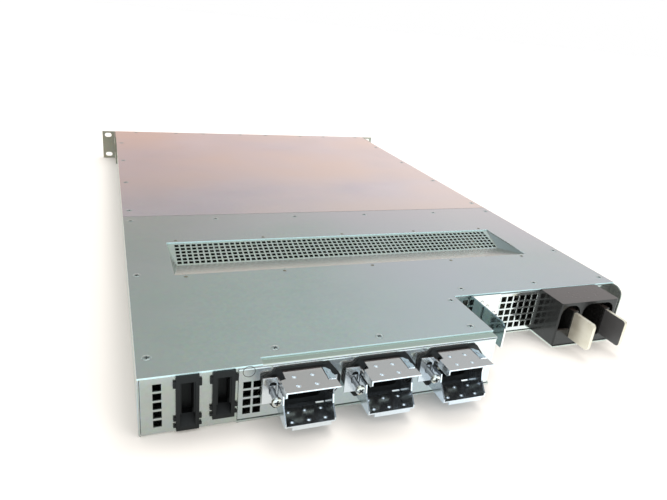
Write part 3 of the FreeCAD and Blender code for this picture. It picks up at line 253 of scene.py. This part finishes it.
def zinc_sheet(name, dark, light, roughness=0.20, metallic=0.85, relief=0.05, painted_reflection_patches=None, tints=(),
               rear_edge=None):
    """Zinc-coated steel: rolled grain, faint spangle, clouding and fine scratches; where they are
    given, broad patches of painted reflection, painted light tints on the faces of some sides,
    and a colour on rear-facing faces that paints a highlight on some sheets and shade on others."""
    material, tree, shader = new_material(name)
    shader.inputs["Metallic"].default_value = metallic
    clouds = noise(tree, scale=9.0, detail=4.0, roughness=0.55)
    grain = noise(tree, scale=2600.0, detail=2.0, roughness=0.6, stretch=(1.0, 0.05, 1.0))
    scratches = noise(tree, scale=900.0, detail=5.0, roughness=0.75, stretch=(0.04, 1.0, 1.0))
    spangle = add(tree, "ShaderNodeTexVoronoi", Scale=420.0)
    tree.links.new(coordinates(tree), spangle.inputs["Vector"])
    base = ramp(tree, clouds, [(0.3, dark), (0.7, light)])
    base = blend(tree, 0.07, base, spangle.outputs["Color"], "SOFT_LIGHT")
    base = blend(tree, 0.08, base, greys(tree, grain, (0.3, 0.4), (0.7, 0.6)), "SOFT_LIGHT")
    # Painted reflection: broad patches of another colour stand in for the reflections on the covers
    if painted_reflection_patches:
        patches = noise(tree, scale=6.5, detail=2.0, roughness=0.45, stretch=(0.8, 1.2, 1.0))
        base = blend(tree, greys(tree, patches, (0.36, 0), (0.68, 1)), base, painted_reflection_patches)
    # Painted light: tints on the faces that look towards some sides
    base = with_painted_light(tree, base, tints)
    # Painted light: rear-facing faces take their own colour and little metal; a bright colour
    # paints a highlight there, a dark one paints shade
    if rear_edge:
        edge = facing_share(tree, *REARWARD)
        base = blend(tree, edge, base, rear_edge)
        metal = greys(tree, edge, (0.0, metallic), (1.0, 0.1))
        tree.links.new(metal, shader.inputs["Metallic"])
    tree.links.new(base, shader.inputs["Base Color"])
    rough = greys(tree, scratches, (0.35, roughness - 0.02), (0.75, roughness + 0.03))
    tree.links.new(rough, shader.inputs["Roughness"])
    surface_relief(tree, shader, clouds, strength=relief, distance=0.0003, edge_radius=0.0005)
    return material


def polished_zinc(name, dark, light, **more):
    """Zinc sheet that mirrors what is near it."""
    return zinc_sheet(name, dark, light, roughness=0.09, metallic=0.93, relief=0.02, **more)


def bright_zinc(name, dark, light, roughness, warm=None, tints=()):
    """Bright plated steel of clamps and screws, with a warm tint in patches, or painted light
    tints on the faces of some sides, where they are given."""
    material, tree, shader = new_material(name)
    shader.inputs["Metallic"].default_value = 0.95
    patches = noise(tree, scale=160.0, detail=3.0, roughness=0.6)
    grain = noise(tree, scale=2400.0, detail=3.0, roughness=0.6, stretch=(1.0, 0.2, 1.0))
    base = ramp(tree, patches, [(0.3, dark), (0.65, light)])
    if warm:
        spots = noise(tree, scale=340.0, detail=2.0)
        base = blend(tree, greys(tree, spots, (0.45, 0), (0.7, 1)), base, warm)
    base = with_painted_light(tree, base, tints)
    tree.links.new(base, shader.inputs["Base Color"])
    rough = greys(tree, patches, (0.3, roughness), (0.7, roughness + 0.1))
    tree.links.new(rough, shader.inputs["Roughness"])
    surface_relief(tree, shader, grain, strength=0.12, distance=0.00004, edge_radius=0.00025)
    return material


def moulded_plastic(name, dark, light, roughness, relief, coat=0.0, painted_top_reflection=None):
    """Moulded plastic with a fine texture and scuffs, and a painted reflection, lighter and
    brownish, on its upward faces where it is given."""
    material, tree, shader = new_material(name)
    fine = noise(tree, scale=3200.0, detail=2.0, roughness=0.5)
    scuffs = noise(tree, scale=120.0, detail=5.0, roughness=0.7, stretch=(1.0, 1.0, 0.3))
    base = ramp(tree, scuffs, [(0.35, dark), (0.75, light)])
    # Painted reflection: upward faces take a lighter brownish colour
    if painted_top_reflection:
        base = with_painted_light(tree, base, [(UPWARD, painted_top_reflection)])
    tree.links.new(base, shader.inputs["Base Color"])
    shader.inputs["Specular IOR Level"].default_value = 0.3
    rough = greys(tree, scuffs, (0.3, roughness), (0.8, roughness + 0.15))
    tree.links.new(rough, shader.inputs["Roughness"])
    shader.inputs["Coat Weight"].default_value = coat
    shader.inputs["Coat Roughness"].default_value = 0.08
    surface_relief(tree, shader, fine, strength=relief, distance=0.00006, edge_radius=0.00035)
    return material


def tin_plate(name, painted_shade_faces=False):
    """Warm satin tin over copper, wiped and slightly stained; broad side faces may carry painted
    shade.
    """
    material, tree, shader = new_material(name)
    shader.inputs["Metallic"].default_value = 0.55
    wipes = noise(tree, scale=300.0, detail=4.0, roughness=0.65, stretch=(1.0, 0.15, 1.0))
    stains = noise(tree, scale=60.0, detail=3.0, roughness=0.5)
    base = ramp(tree, stains, [(0.35, (0.66, 0.61, 0.50)), (0.7, (0.78, 0.74, 0.64))])
    base = blend(tree, 0.2, base, greys(tree, wipes, (0.3, 0.3), (0.7, 0.8)), "SOFT_LIGHT")
    # Painted shade: broad side faces dark and less metallic
    if painted_shade_faces:
        sideways = add(tree, "ShaderNodeMath", operation="ABSOLUTE")
        tree.links.new(face_axes(tree)["X"], sideways.inputs[0])
        broad = greys(tree, sideways.outputs["Value"], (0.85, 0), (0.95, 1))
        base = blend(tree, broad, base, (0.085, 0.085, 0.088))
        metal = greys(tree, broad, (0.0, 0.55), (1.0, 0.1))
        tree.links.new(metal, shader.inputs["Metallic"])
    tree.links.new(base, shader.inputs["Base Color"])
    rough = greys(tree, wipes, (0.3, 0.34), (0.7, 0.5))
    tree.links.new(rough, shader.inputs["Roughness"])
    surface_relief(tree, shader, wipes, strength=0.12, distance=0.00005, edge_radius=0.0004)
    return material


def circuit_board(name):
    """Green solder mask with faint copper tracks under it."""
    material, tree, shader = new_material(name)
    tracks = add(
        tree, "ShaderNodeTexBrick", Scale=90.0, Color1=(0.004, 0.022, 0.012, 1),
        Color2=(0.005, 0.028, 0.014, 1), Mortar=(0.010, 0.045, 0.022, 1)
    )
    tree.links.new(coordinates(tree), tracks.inputs["Vector"])
    tree.links.new(tracks.outputs["Color"], shader.inputs["Base Color"])
    mottling = noise(tree, scale=500.0)
    rough = greys(tree, mottling, (0.3, 0.25), (0.7, 0.4))
    tree.links.new(rough, shader.inputs["Roughness"])
    surface_relief(tree, shader, mottling, strength=0.05, distance=0.00003, edge_radius=0.0002)
    return material


def printed_ink(name):
    """Dark screen-printed ink, a little uneven."""
    material, tree, shader = new_material(name)
    uneven = noise(tree, scale=2500.0)
    base = greys(tree, uneven, (0.3, 0.02), (0.8, 0.09))
    tree.links.new(base, shader.inputs["Base Color"])
    shader.inputs["Roughness"].default_value = 0.6
    return material


# Materials of the record's slots
MATERIALS = {
    "galvanised_sheet": zinc_sheet("zinc_coated_sheet", (0.47, 0.505, 0.465), (0.535, 0.56, 0.525)),
    # Painted reflection: upward faces of the mirror-like sheet take a duller yellowish tint
    "polished_sheet": polished_zinc(
        "mirror_like_sheet", (0.55, 0.59, 0.575), (0.62, 0.65, 0.64),
        tints=[(UPWARD, (0.50, 0.51, 0.44))]
    ),
    # Painted highlight: rear-facing faces of the clamps nearly white
    "clamp_sheet": bright_zinc(
        "bright_clamp_sheet", (0.53, 0.58, 0.63), (0.62, 0.66, 0.70), roughness=0.12,
        tints=[(REARWARD, (0.96, 0.97, 0.98))]
    ),
    "zinc_fasteners": bright_zinc(
        "bright_fastener", (0.60, 0.61, 0.61), (0.80, 0.80, 0.79), roughness=0.14,
        warm=(0.70, 0.63, 0.48)
    ),
    "tinned_copper": tin_plate("tin_plated_copper"),
    # Glossy black moulding, with a painted reflection on its upward faces
    "black_gloss_moulding": moulded_plastic(
        "glossy_black_moulding", grey(0.010), grey(0.018), roughness=0.18, relief=0.03, coat=0.15,
        painted_top_reflection=(0.068, 0.054, 0.048)
    ),
    "black_moulding": moulded_plastic(
        "matt_black_moulding", (0.004, 0.005, 0.005), (0.011, 0.012, 0.012), roughness=0.42,
        relief=0.2
    ),
    "lever_moulding": moulded_plastic(
        "grey_lever_moulding", (0.045, 0.05, 0.055), (0.075, 0.08, 0.085), roughness=0.45,
        relief=0.3
    ),
    "brass_contacts": bright_zinc(
        "plated_contact", (0.60, 0.56, 0.45), (0.72, 0.69, 0.58), roughness=0.25
    ),
    "circuit_board": circuit_board("solder_mask"),
}

# Materials of single pieces and faces
# Positive blade, with painted shade on its broad side faces
PAINTED_SHADE_BLADE = tin_plate("tin_plated_copper_painted_shade_faces", painted_shade_faces=True)
# Front cover: its rosy tint and peach patches are painted reflection, and its rear edge is painted
# shade, a dark line in the seam
ROSY_REFLECTION_SHEET = zinc_sheet(
    "zinc_sheet_painted_rosy_reflection", (0.60, 0.56, 0.59), (0.68, 0.63, 0.655), painted_reflection_patches=(0.72, 0.605, 0.55),
    rear_edge=grey(0.03)
)
# Rear cover: lilac-grey patches of painted reflection, and a painted cyan highlight on its
# rear-facing edges
COVER_SHEET = zinc_sheet(
    "zinc_cover_sheet", (0.47, 0.505, 0.475), (0.53, 0.555, 0.525), painted_reflection_patches=(0.545, 0.525, 0.535),
    rear_edge=(0.64, 0.90, 0.95)
)
# Vent: painted reflection on its slopes, pinkish on those that face forward and dark on those that
# face left
VENT_SHEET = zinc_sheet(
    "zinc_vent_sheet", (0.48, 0.51, 0.46), (0.55, 0.57, 0.52),
    tints=[(NEAR_SLOPE, (0.505, 0.455, 0.485)), (RIGHT_SLOPE, (0.26, 0.29, 0.28))]
)
# Painted shade: a darker copy of the zinc sheet for the rack ears
SHADED_EAR_SHEET = zinc_sheet(
    "shaded_ear_sheet", (0.27, 0.275, 0.235), (0.34, 0.345, 0.30), roughness=0.24
)
# Cable guard: its dark bluish colour is painted reflection, and its rear-facing foot a painted
# white highlight
GUARD_REFLECTION_SHEET = polished_zinc(
    "guard_sheet_painted_dark_reflection", (0.16, 0.22, 0.23), (0.21, 0.28, 0.29), rear_edge=(0.95, 0.97, 0.96)
)
# Clamp jaws: warm painted reflection on their upward faces and a painted white highlight on
# rear-facing ones
JAW_SHEET = bright_zinc(
    "clamp_sheet_painted_warm_tops", (0.58, 0.62, 0.64), (0.66, 0.69, 0.71), roughness=0.12,
    tints=[(UPWARD, (0.64, 0.545, 0.52)), (REARWARD, (0.96, 0.97, 0.98))]
)
SILVER = bright_zinc("silver_fastener", (0.42, 0.45, 0.43), (0.62, 0.65, 0.63), roughness=0.18)
# Painted shade: dark threads, for the shade in their valleys
THREAD_SHADE = bright_zinc("thread_painted_shade", (0.22, 0.23, 0.24), (0.36, 0.37, 0.38), roughness=0.25)
# Painted shade: the inside of the cross recesses
RECESS_SHADE = bright_zinc(
    "screw_recess_painted_shade", (0.06, 0.064, 0.064), (0.13, 0.135, 0.135), roughness=0.5
)
DULL_RIVET = bright_zinc("dull_rivet", (0.13, 0.11, 0.075), (0.34, 0.31, 0.24), roughness=0.3)
INK = printed_ink("dark_print")

OWN_MATERIALS = {
    "busbar_positive": PAINTED_SHADE_BLADE,
    "front_cover": ROSY_REFLECTION_SHEET,
    "rear_cover": COVER_SHEET,
    "vent_grille": VENT_SHEET,
    "rack_ear_left": SHADED_EAR_SHEET,
    "rack_ear_right": SHADED_EAR_SHEET,
    "cable_guard": GUARD_REFLECTION_SHEET,
    "cord_clamp_jaw_1": JAW_SHEET,
    "cord_clamp_jaw_2": JAW_SHEET,
    "cord_clamp_jaw_3": JAW_SHEET,
}
SCREW_MATERIALS = (MATERIALS["zinc_fasteners"], RECESS_SHADE, THREAD_SHADE)


def dress_cad_nodes():
    """Gives every CAD piece the material of its slot, or its own where it differs."""
    slots = {part["node"]: part["material_slot"] for part in frame["record"]["subparts"]}
    for name, node in frame["nodes"].items():
        material = OWN_MATERIALS.get(name, MATERIALS[slots[name]])
        if not node.material_slots:
            node.data.materials.append(material)
        for slot in node.material_slots:
            slot.material = material


# Small turned and pressed pieces


def ring(mesh, matrix, radius, height, segments=HEAD_SEGMENTS):
    """Circle of points about the local z axis."""
    step = 2 * math.pi / segments
    return [
        mesh.verts.new(matrix @ Vector((
            radius * math.cos(step * i), radius * math.sin(step * i), height
        )))
        for i in range(segments)
    ]


def bridge(mesh, lower, upper):
    """Faces between two circles with as many points."""
    count = len(lower)
    for i in range(count):
        j = (i + 1) % count
        mesh.faces.new((lower[i], lower[j], upper[j], upper[i]))


def turned(mesh, matrix, profile, segments=HEAD_SEGMENTS):
    """Surface of revolution from (radius, height) pairs, closed at its first end; returns the
    circle at the open end."""
    circles = [ring(mesh, matrix, radius, height, segments) for radius, height in profile]
    for lower, upper in zip(circles, circles[1:]):
        bridge(mesh, lower, upper)
    mesh.faces.new(list(reversed(circles[0])))
    return circles[-1]


def closed_turned(mesh, matrix, profile, material_index):
    """Surface of revolution closed at both ends, with its own material."""
    first = len(mesh.faces)
    mesh.faces.new(turned(mesh, matrix, profile, SHANK_SEGMENTS))
    mesh.faces.ensure_lookup_table()
    for face in mesh.faces[first:]:
        face.material_index = material_index


def cross_outline(arm):
    """Corners of a plus-shaped recess."""
    a, w = arm, arm * RECESS_WIDTH
    return [(a, -w), (a, w), (w, w), (w, a), (-w, a), (-w, w), (-a, w), (-a, -w), (-w, -w),
            (-w, -a), (w, -a), (w, -w)]


def recessed_top(mesh, matrix, rim, height, arm, depth):
    """Flat top with a tapered cross recess, closed against the rim circle."""
    outline = cross_outline(arm)
    mouth = [mesh.verts.new(matrix @ Vector((x, y, height))) for x, y in outline]
    floor = [
        mesh.verts.new(matrix @ Vector((x * RECESS_FLOOR, y * RECESS_FLOOR, height - depth)))
        for x, y in outline
    ]
    count = len(mouth)
    rim_edges = [mesh.edges.get((rim[i], rim[(i + 1) % len(rim)])) for i in range(len(rim))]
    mouth_edges = [mesh.edges.new((mouth[i], mouth[(i + 1) % count])) for i in range(count)]
    bmesh.ops.triangle_fill(mesh, edges=rim_edges + mouth_edges, use_beauty=True)
    inside = [
        mesh.faces.new((mouth[i], mouth[(i + 1) % count], floor[(i + 1) % count], floor[i]))
        for i in range(count)
    ]
    inside.append(mesh.faces.new(floor))
    # The recess's inside faces take the painted shade material
    for face in inside:
        face.material_index = RECESS_INDEX


def pan_head(mesh, matrix, radius):
    """Domed screw head with a cross recess; local z points away from the seat."""
    height = PAN_HEAD_HEIGHT
    profile = [(radius * share, height * rise) for share, rise in PAN_PROFILE]
    rim = turned(mesh, matrix, profile)
    recessed_top(mesh, matrix, rim, height, radius * RECESS_ARM, height * RECESS_DEPTH)


def flat_head(mesh, matrix, radius, thickness):
    """Countersunk screw head, a little domed, with a cross recess; local z points outward."""
    rim = turned(mesh, matrix, [
        (radius * FLAT_HEAD_FOOT, -thickness), (radius - FLAT_HEAD_RIM, -FLAT_HEAD_RIM),
        (radius, 0.0), (radius * DOME_SHOULDER, DOME_RISE / 2), (radius * DOME_TOP, DOME_RISE),
    ])
    recessed_top(mesh, matrix, rim, DOME_RISE, radius * RECESS_ARM, thickness * RECESS_DEPTH)


def threaded_shank(mesh, matrix, length):
    """Rolled thread drawn as a stack of ridges, from its far end up to the head's seat."""
    root = THREAD_RADIUS - THREAD_DEPTH
    profile = [(THREAD_RADIUS, -length)]
    height = -length + THREAD_PITCH
    while height < -THREAD_PITCH:
        profile.append((root, height))
        profile.append((THREAD_RADIUS, height + THREAD_PITCH / 2))
        height += THREAD_PITCH
    profile.append((root, 0.0))
    closed_turned(mesh, matrix, profile, THREAD_INDEX)


def pan_head_screw(mesh, low, high, turn):
    """Pan-head screw as long as the box of its CAD solid, its head to the rear."""
    centre = (low + high) / 2
    seat = Matrix.Translation((centre.x, low.y + PAN_HEAD_HEIGHT, centre.z))
    seat = seat @ Matrix.Rotation(math.radians(90), 4, "X")
    pan_head(mesh, seat @ Matrix.Rotation(turn, 4, "Z"), (high.x - low.x) / 2)
    threaded_shank(mesh, seat, high.y - low.y - PAN_HEAD_HEIGHT)


def finished(name, mesh, body, materials):
    """Mesh turned into a piece that rides on a body, its faces coloured by their index."""
    bmesh.ops.recalc_face_normals(mesh, faces=mesh.faces)
    data = bpy.data.meshes.new(name)
    mesh.to_mesh(data)
    mesh.free()
    for material in materials:
        data.materials.append(material)
    piece = bpy.data.objects.new(name, data)
    bpy.context.scene.collection.objects.link(piece)
    data.shade_smooth()
    data.set_sharp_from_angle(angle=math.radians(SMOOTH_DEGREES))
    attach(piece, body)
    return piece


def islands(node):
    """Separate solids of a CAD node as (lowest corner, highest corner) pairs."""
    data = frame["nodes"][node].data
    merged = {}
    for vertex in data.vertices:
        merged.setdefault(tuple(round(c, 6) for c in vertex.co), []).append(vertex.index)
    leader = list(range(len(data.vertices)))

    def find(i):
        while leader[i] != i:
            leader[i] = leader[leader[i]]
            i = leader[i]
        return i

    for same in merged.values():
        for i in same[1:]:
            leader[find(i)] = find(same[0])
    for edge in data.edges:
        a, b = edge.vertices
        leader[find(a)] = find(b)
    groups = {}
    for vertex in data.vertices:
        groups.setdefault(find(vertex.index), []).append(vertex.co)
    boxes = []
    for points in groups.values():
        low = Vector([min(p[k] for p in points) for k in range(3)])
        high = Vector([max(p[k] for p in points) for k in range(3)])
        boxes.append((low, high))
    return sorted(boxes, key=lambda pair: tuple(pair[0]))


def cover_screw_heads():
    """Flat heads in the covers, each turned to its own angle."""
    mesh = bmesh.new()
    for i, (low, high) in enumerate(islands("cover_screws")):
        centre = (low + high) / 2
        seat = Matrix.Translation((centre.x, centre.y, high.z))
        seat = seat @ Matrix.Rotation(i * COVER_SCREW_TURN, 4, "Z")
        flat_head(mesh, seat, FLAT_HEAD_RADIUS, (high.z - low.z) * FLAT_HEAD_THICKNESS)
    materials = (SILVER, RECESS_SHADE)
    piece = finished("cover_screw_heads", mesh, "shelf", materials)
    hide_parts("cover_screws")


def long_clamp_screws():
    """Pan-head screws with a rolled thread that hold the clamp jaws."""
    for i, turn in enumerate(CLAMP_SCREW_TURNS, 1):
        node = "clamp_screw_%d" % i
        name = "clamp_screw_threaded_%d" % i
        low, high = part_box(node)
        mesh = bmesh.new()
        pan_head_screw(mesh, low, high, turn)
        piece = finished(name, mesh, node, SCREW_MATERIALS)
        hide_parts(node)


def inlet_screw_heads():
    """Pan-head screws in the right-hand holes of the inlets."""
    mesh = bmesh.new()
    for i, (low, high) in enumerate(islands("inlet_screws")):
        pan_head_screw(mesh, low, high, i * INLET_SCREW_TURN)
    piece = finished("inlet_screw_heads", mesh, "shelf", SCREW_MATERIALS)
    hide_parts("inlet_screws")


def rivet_seat(low, high, thin):
    """Seat of a rivet's head on its sheet, from its box and the axis along which it is thin;
    local z points outward: up, to the rear, or away from the side walls."""
    centre = (low + high) / 2
    if thin == 2:
        return Matrix.Translation((centre.x, centre.y, low.z))
    if thin == 1:
        seat = Matrix.Translation((centre.x, high.y, centre.z))
        return seat @ Matrix.Rotation(math.radians(90), 4, "X")
    side = 1 if centre.x > 0 else -1
    seat = Matrix.Translation((low.x if side > 0 else high.x, centre.y, centre.z))
    return seat @ Matrix.Rotation(math.radians(90 * side), 4, "Y")


def domed_rivets():
    """Rivets with a domed head in place of the plain discs, duller where they look up."""
    mesh = bmesh.new()
    for low, high in islands("rivets"):
        size = high - low
        thin = min(range(3), key=lambda k: size[k])
        radius = sorted(size)[2] / 2
        profile = [(radius * share, size[thin] * rise) for share, rise in RIVET_PROFILE]
        index = COVER_RIVET_INDEX if thin == 2 else 0
        closed_turned(mesh, rivet_seat(low, high, thin), profile, index)
    materials = (MATERIALS["zinc_fasteners"], DULL_RIVET)
    piece = finished("domed_rivets", mesh, "shelf", materials)
    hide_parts("rivets")


def printed_ring():
    """Plain printed ring beside the inlet vents."""
    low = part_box("inlet_panel")[0]
    matrix = Matrix.Translation((low.x + RING_ASIDE, low.y - RING_LIFT, RING_HEIGHT))
    matrix = matrix @ Matrix.Rotation(math.radians(90), 4, "X")
    mesh = bmesh.new()
    inner = ring(mesh, matrix, RING_RADIUS - RING_WIDTH, 0.0)
    outer = ring(mesh, matrix, RING_RADIUS, 0.0)
    bridge(mesh, outer, inner)
    finished("printed_ring", mesh, "shelf", (INK,))


# Floor: its reach and its drop under the shelf in metres, its paint near the shelf and far off,
# the distances over which the one turns into the other, and its paint as metal mirrors it
FLOOR_REACH = 12.0
FLOOR_DROP = 0.0002
FLOOR_PAINT = [(0.3, (0.845, 0.81, 0.77)), (0.7, (0.855, 0.82, 0.78))]
FAR_PAINT = grey(0.95)
FAR_DISTANCE = (0.55, 1.2)
MIRRORED_PAINT = grey(0.12)

# Glow of the floor as metal mirrors it, which stands for the daylight of a real room. Places are
# in metres from the shelf's middle: where a colour starts, and where it is full
FLOOR_GLOW = (0.57, 0.60, 0.58)
RIGHT_AND_REAR_GLOWS = [
    ("X", -0.16, 0.04, (0.76, 0.88, 0.95)),
    ("X", 0.01, 0.04, (1.50, 1.58, 1.55)),
    ("Y", -0.416, -0.420, (1.2, 1.45, 1.55)),
]
LEFT_SIDE = (-0.222, -0.235)
LEFT_FRONT_GLOW = (0.75, 0.70, 0.58)
LEFT_REAR = (-0.30, -0.34)
LEFT_REAR_GLOW = (0.90, 1.15, 1.45)
# Painted reflection: a dark patch of the floor, behind the clamps, that only metal mirrors
DARK_PATCH = [
    ("X", -0.143, -0.130), ("X", 0.035, 0.0), ("Y", -0.389, -0.396), ("Y", -0.4190, -0.4145)
]
DARK_PATCH_GLOW = (0.07, 0.115, 0.15)


def mirrored_floor(tree):
    """Glow of the floor as polished metal shows it: brighter to the right and far behind, cool
    beside the shelf's rear left, and a painted dark reflection in a patch behind the clamps."""
    place = axes(tree, add(tree, "ShaderNodeTexCoord").outputs["Object"])
    glow = FLOOR_GLOW
    for axis, start, end, colour in RIGHT_AND_REAR_GLOWS:
        glow = blend(tree, between(tree, place[axis], start, end), glow, colour)
    rear = between(tree, place["Y"], *LEFT_REAR)
    left = blend(tree, rear, LEFT_FRONT_GLOW, LEFT_REAR_GLOW)
    glow = blend(tree, between(tree, place["X"], *LEFT_SIDE), glow, left)
    return blend(tree, within(tree, place, DARK_PATCH), glow, DARK_PATCH_GLOW)


def floor_paint():
    """Slightly warm white paint; metal mirrors it dimmer, and with the floor's glow."""
    material, tree, shader = new_material("pale_floor_paint")
    near = ramp(tree, noise(tree, scale=2.0), FLOOR_PAINT)
    distance = add(tree, "ShaderNodeVectorMath", operation="LENGTH")
    tree.links.new(coordinates(tree), distance.inputs[0])
    far = between(tree, distance.outputs["Value"], *FAR_DISTANCE)
    base = blend(tree, far, near, FAR_PAINT)
    rays = add(tree, "ShaderNodeLightPath")
    base = blend(tree, rays.outputs["Is Glossy Ray"], base, MIRRORED_PAINT)
    tree.links.new(base, shader.inputs["Base Color"])
    tree.links.new(mirrored_floor(tree), shader.inputs["Emission Color"])
    tree.links.new(rays.outputs["Is Glossy Ray"], shader.inputs["Emission Strength"])
    shader.inputs["Roughness"].default_value = 0.8
    shader.inputs["Specular IOR Level"].default_value = 0.1
    return material


def pale_floor():
    """Plain white floor that reaches past the view."""
    mesh = bmesh.new()
    corners = ((-1, -1), (1, -1), (1, 1), (-1, 1))
    mesh.faces.new([
        mesh.verts.new((x * FLOOR_REACH, y * FLOOR_REACH, -FLOOR_DROP)) for x, y in corners
    ])
    data = bpy.data.meshes.new("pale_floor")
    mesh.to_mesh(data)
    mesh.free()
    data.materials.append(floor_paint())
    floor = bpy.data.objects.new("pale_floor", data)
    bpy.context.scene.collection.objects.link(floor)


# Room as metal mirrors it: colours of directions from level, 0, to straight up, 1
ROOM_LEFT = [
    (0.0, (0.85, 0.82, 0.78)), (0.10, (0.94, 0.76, 0.66)), (0.20, (0.90, 0.64, 0.56)),
    (0.27, (0.56, 0.45, 0.46)), (0.34, (0.40, 0.40, 0.41)), (0.46, (0.38, 0.48, 0.45)),
    (0.66, (0.42, 0.50, 0.50)), (0.82, (0.60, 0.68, 0.67)), (0.89, (1.35, 1.60, 1.65)),
    (0.94, (1.35, 1.60, 1.65)), (0.98, (0.70, 0.75, 0.75)),
]
ROOM_RIGHT = [
    (0.0, (0.95, 0.92, 0.88)), (0.10, (1.10, 0.98, 0.92)), (0.20, (1.16, 1.0, 0.97)),
    (0.27, (0.98, 0.88, 0.86)), (0.34, (0.68, 0.75, 0.83)), (0.46, (0.62, 0.78, 0.83)),
    (0.66, (0.68, 0.85, 0.91)), (0.82, (0.82, 0.92, 0.93)), (0.89, (1.50, 1.70, 1.75)),
    (0.94, (1.50, 1.70, 1.75)), (0.98, (0.80, 0.84, 0.85)),
]
BEHIND_LEFT = [
    (0.0, (0.80, 0.84, 0.84)), (0.30, (0.68, 0.73, 0.75)), (0.62, (0.52, 0.57, 0.59)),
    (0.72, (1.45, 1.65, 1.75)), (1.0, (1.1, 1.15, 1.2)),
]
BEHIND_RIGHT = [
    (0.0, (0.80, 0.84, 0.84)), (0.28, (0.74, 0.80, 0.82)), (0.40, (0.10, 0.13, 0.15)),
    (0.62, (0.10, 0.13, 0.15)), (0.72, (1.45, 1.65, 1.75)), (1.0, (1.1, 1.15, 1.2)),
]

# Directions over which the room's left turns into its right, and its rear into its front, and
# those of its window
ROOM_RIGHTWARD = (0.05, 0.55)
BEHIND_RIGHTWARD = (0.12, 0.30)
ROOM_FORWARD = (-0.3, 0.2)
WINDOW = [("X", -0.25, -0.40), ("X", -0.85, -0.70), ("Y", -0.15, 0.05), ("Z", 0.55, 0.45)]
WINDOW_LIGHT = (1.9, 2.1, 2.4)

# Room as matt surfaces are lit by it, and as the camera sees it
ROOM_GLOW = [(0.0, (1.20, 1.02, 0.88)), (0.35, (1.18, 1.13, 1.08)), (1.0, (1.16, 1.18, 1.20))]
ROOM_WHITE = grey(1.0)


def mirrored_room(tree, direction):
    """Room as metal shows it: dimmer to the left, rosy low in front, with a dark band behind on
    the right and a window low on the left."""
    aside, forward, height = direction["X"], direction["Y"], direction["Z"]
    front = blend(
        tree, between(tree, aside, *ROOM_RIGHTWARD, "LINEAR"), ramp(tree, height, ROOM_LEFT),
        ramp(tree, height, ROOM_RIGHT)
    )
    behind = blend(
        tree, between(tree, aside, *BEHIND_RIGHTWARD), ramp(tree, height, BEHIND_LEFT),
        ramp(tree, height, BEHIND_RIGHT)
    )
    room = blend(tree, between(tree, forward, *ROOM_FORWARD, "LINEAR"), behind, front)
    return blend(tree, within(tree, direction, WINDOW), room, WINDOW_LIGHT)


def surroundings():
    """Soft white room that lights the shelf."""
    world = bpy.data.worlds.new("soft_room")
    bpy.context.scene.world = world
    world.use_nodes = True
    tree = world.node_tree
    background = tree.nodes["Background"]
    direction = axes(tree, add(tree, "ShaderNodeTexCoord").outputs["Generated"])
    glow = ramp(tree, direction["Z"], ROOM_GLOW)
    rays = add(tree, "ShaderNodeLightPath")
    unseen = blend(tree, rays.outputs["Is Glossy Ray"], glow, mirrored_room(tree, direction))
    seen = blend(tree, rays.outputs["Is Camera Ray"], unseen, ROOM_WHITE)
    tree.links.new(seen, background.inputs["Color"])
    background.inputs["Strength"].default_value = 1.0


def area_light(name, place, target, size, watts, colour):
    """Soft rectangular lamp aimed at a point."""
    lamp = bpy.data.lights.new(name, "AREA")
    lamp.shape = "RECTANGLE"
    lamp.size, lamp.size_y = size
    lamp.energy = watts
    lamp.color = colour
    holder = bpy.data.objects.new(name, lamp)
    holder.visible_glossy = False
    holder.location = place
    holder.rotation_euler = (Vector(target) - Vector(place)).to_track_quat("-Z", "Y").to_euler()
    bpy.context.scene.collection.objects.link(holder)


def lights():
    """Soft key from above the front, and a broad fill from the rear."""
    area_light(
        "key", place=(0.55, 0.35, 2.2), target=(0, 0, 0), size=(1.2, 1.2), watts=22.0,
        colour=(1.0, 0.985, 0.96)
    )
    area_light(
        "fill", place=(1.3, -1.9, 1.0), target=(0, -0.3, 0), size=(1.6, 1.2), watts=14.0,
        colour=(0.94, 0.98, 1.0)
    )


def camera():
    """Camera at the viewing angle of the photograph."""
    data = bpy.data.cameras.new("camera")
    data.lens = LENS_MM
    data.sensor_width = SENSOR_MM
    data.sensor_fit = "HORIZONTAL"
    data.clip_start = CLIP_START
    holder = bpy.data.objects.new("camera", data)
    holder.location = CAMERA_PLACE
    holder.rotation_euler = [math.radians(angle) for angle in CAMERA_TURN]
    bpy.context.scene.collection.objects.link(holder)
    bpy.context.scene.camera = holder


dress_cad_nodes()
cover_screw_heads()
long_clamp_screws()
inlet_screw_heads()
domed_rivets()
printed_ring()
pale_floor()
surroundings()
lights()
camera()
bpy.context.scene.view_settings.view_transform = "Standard"
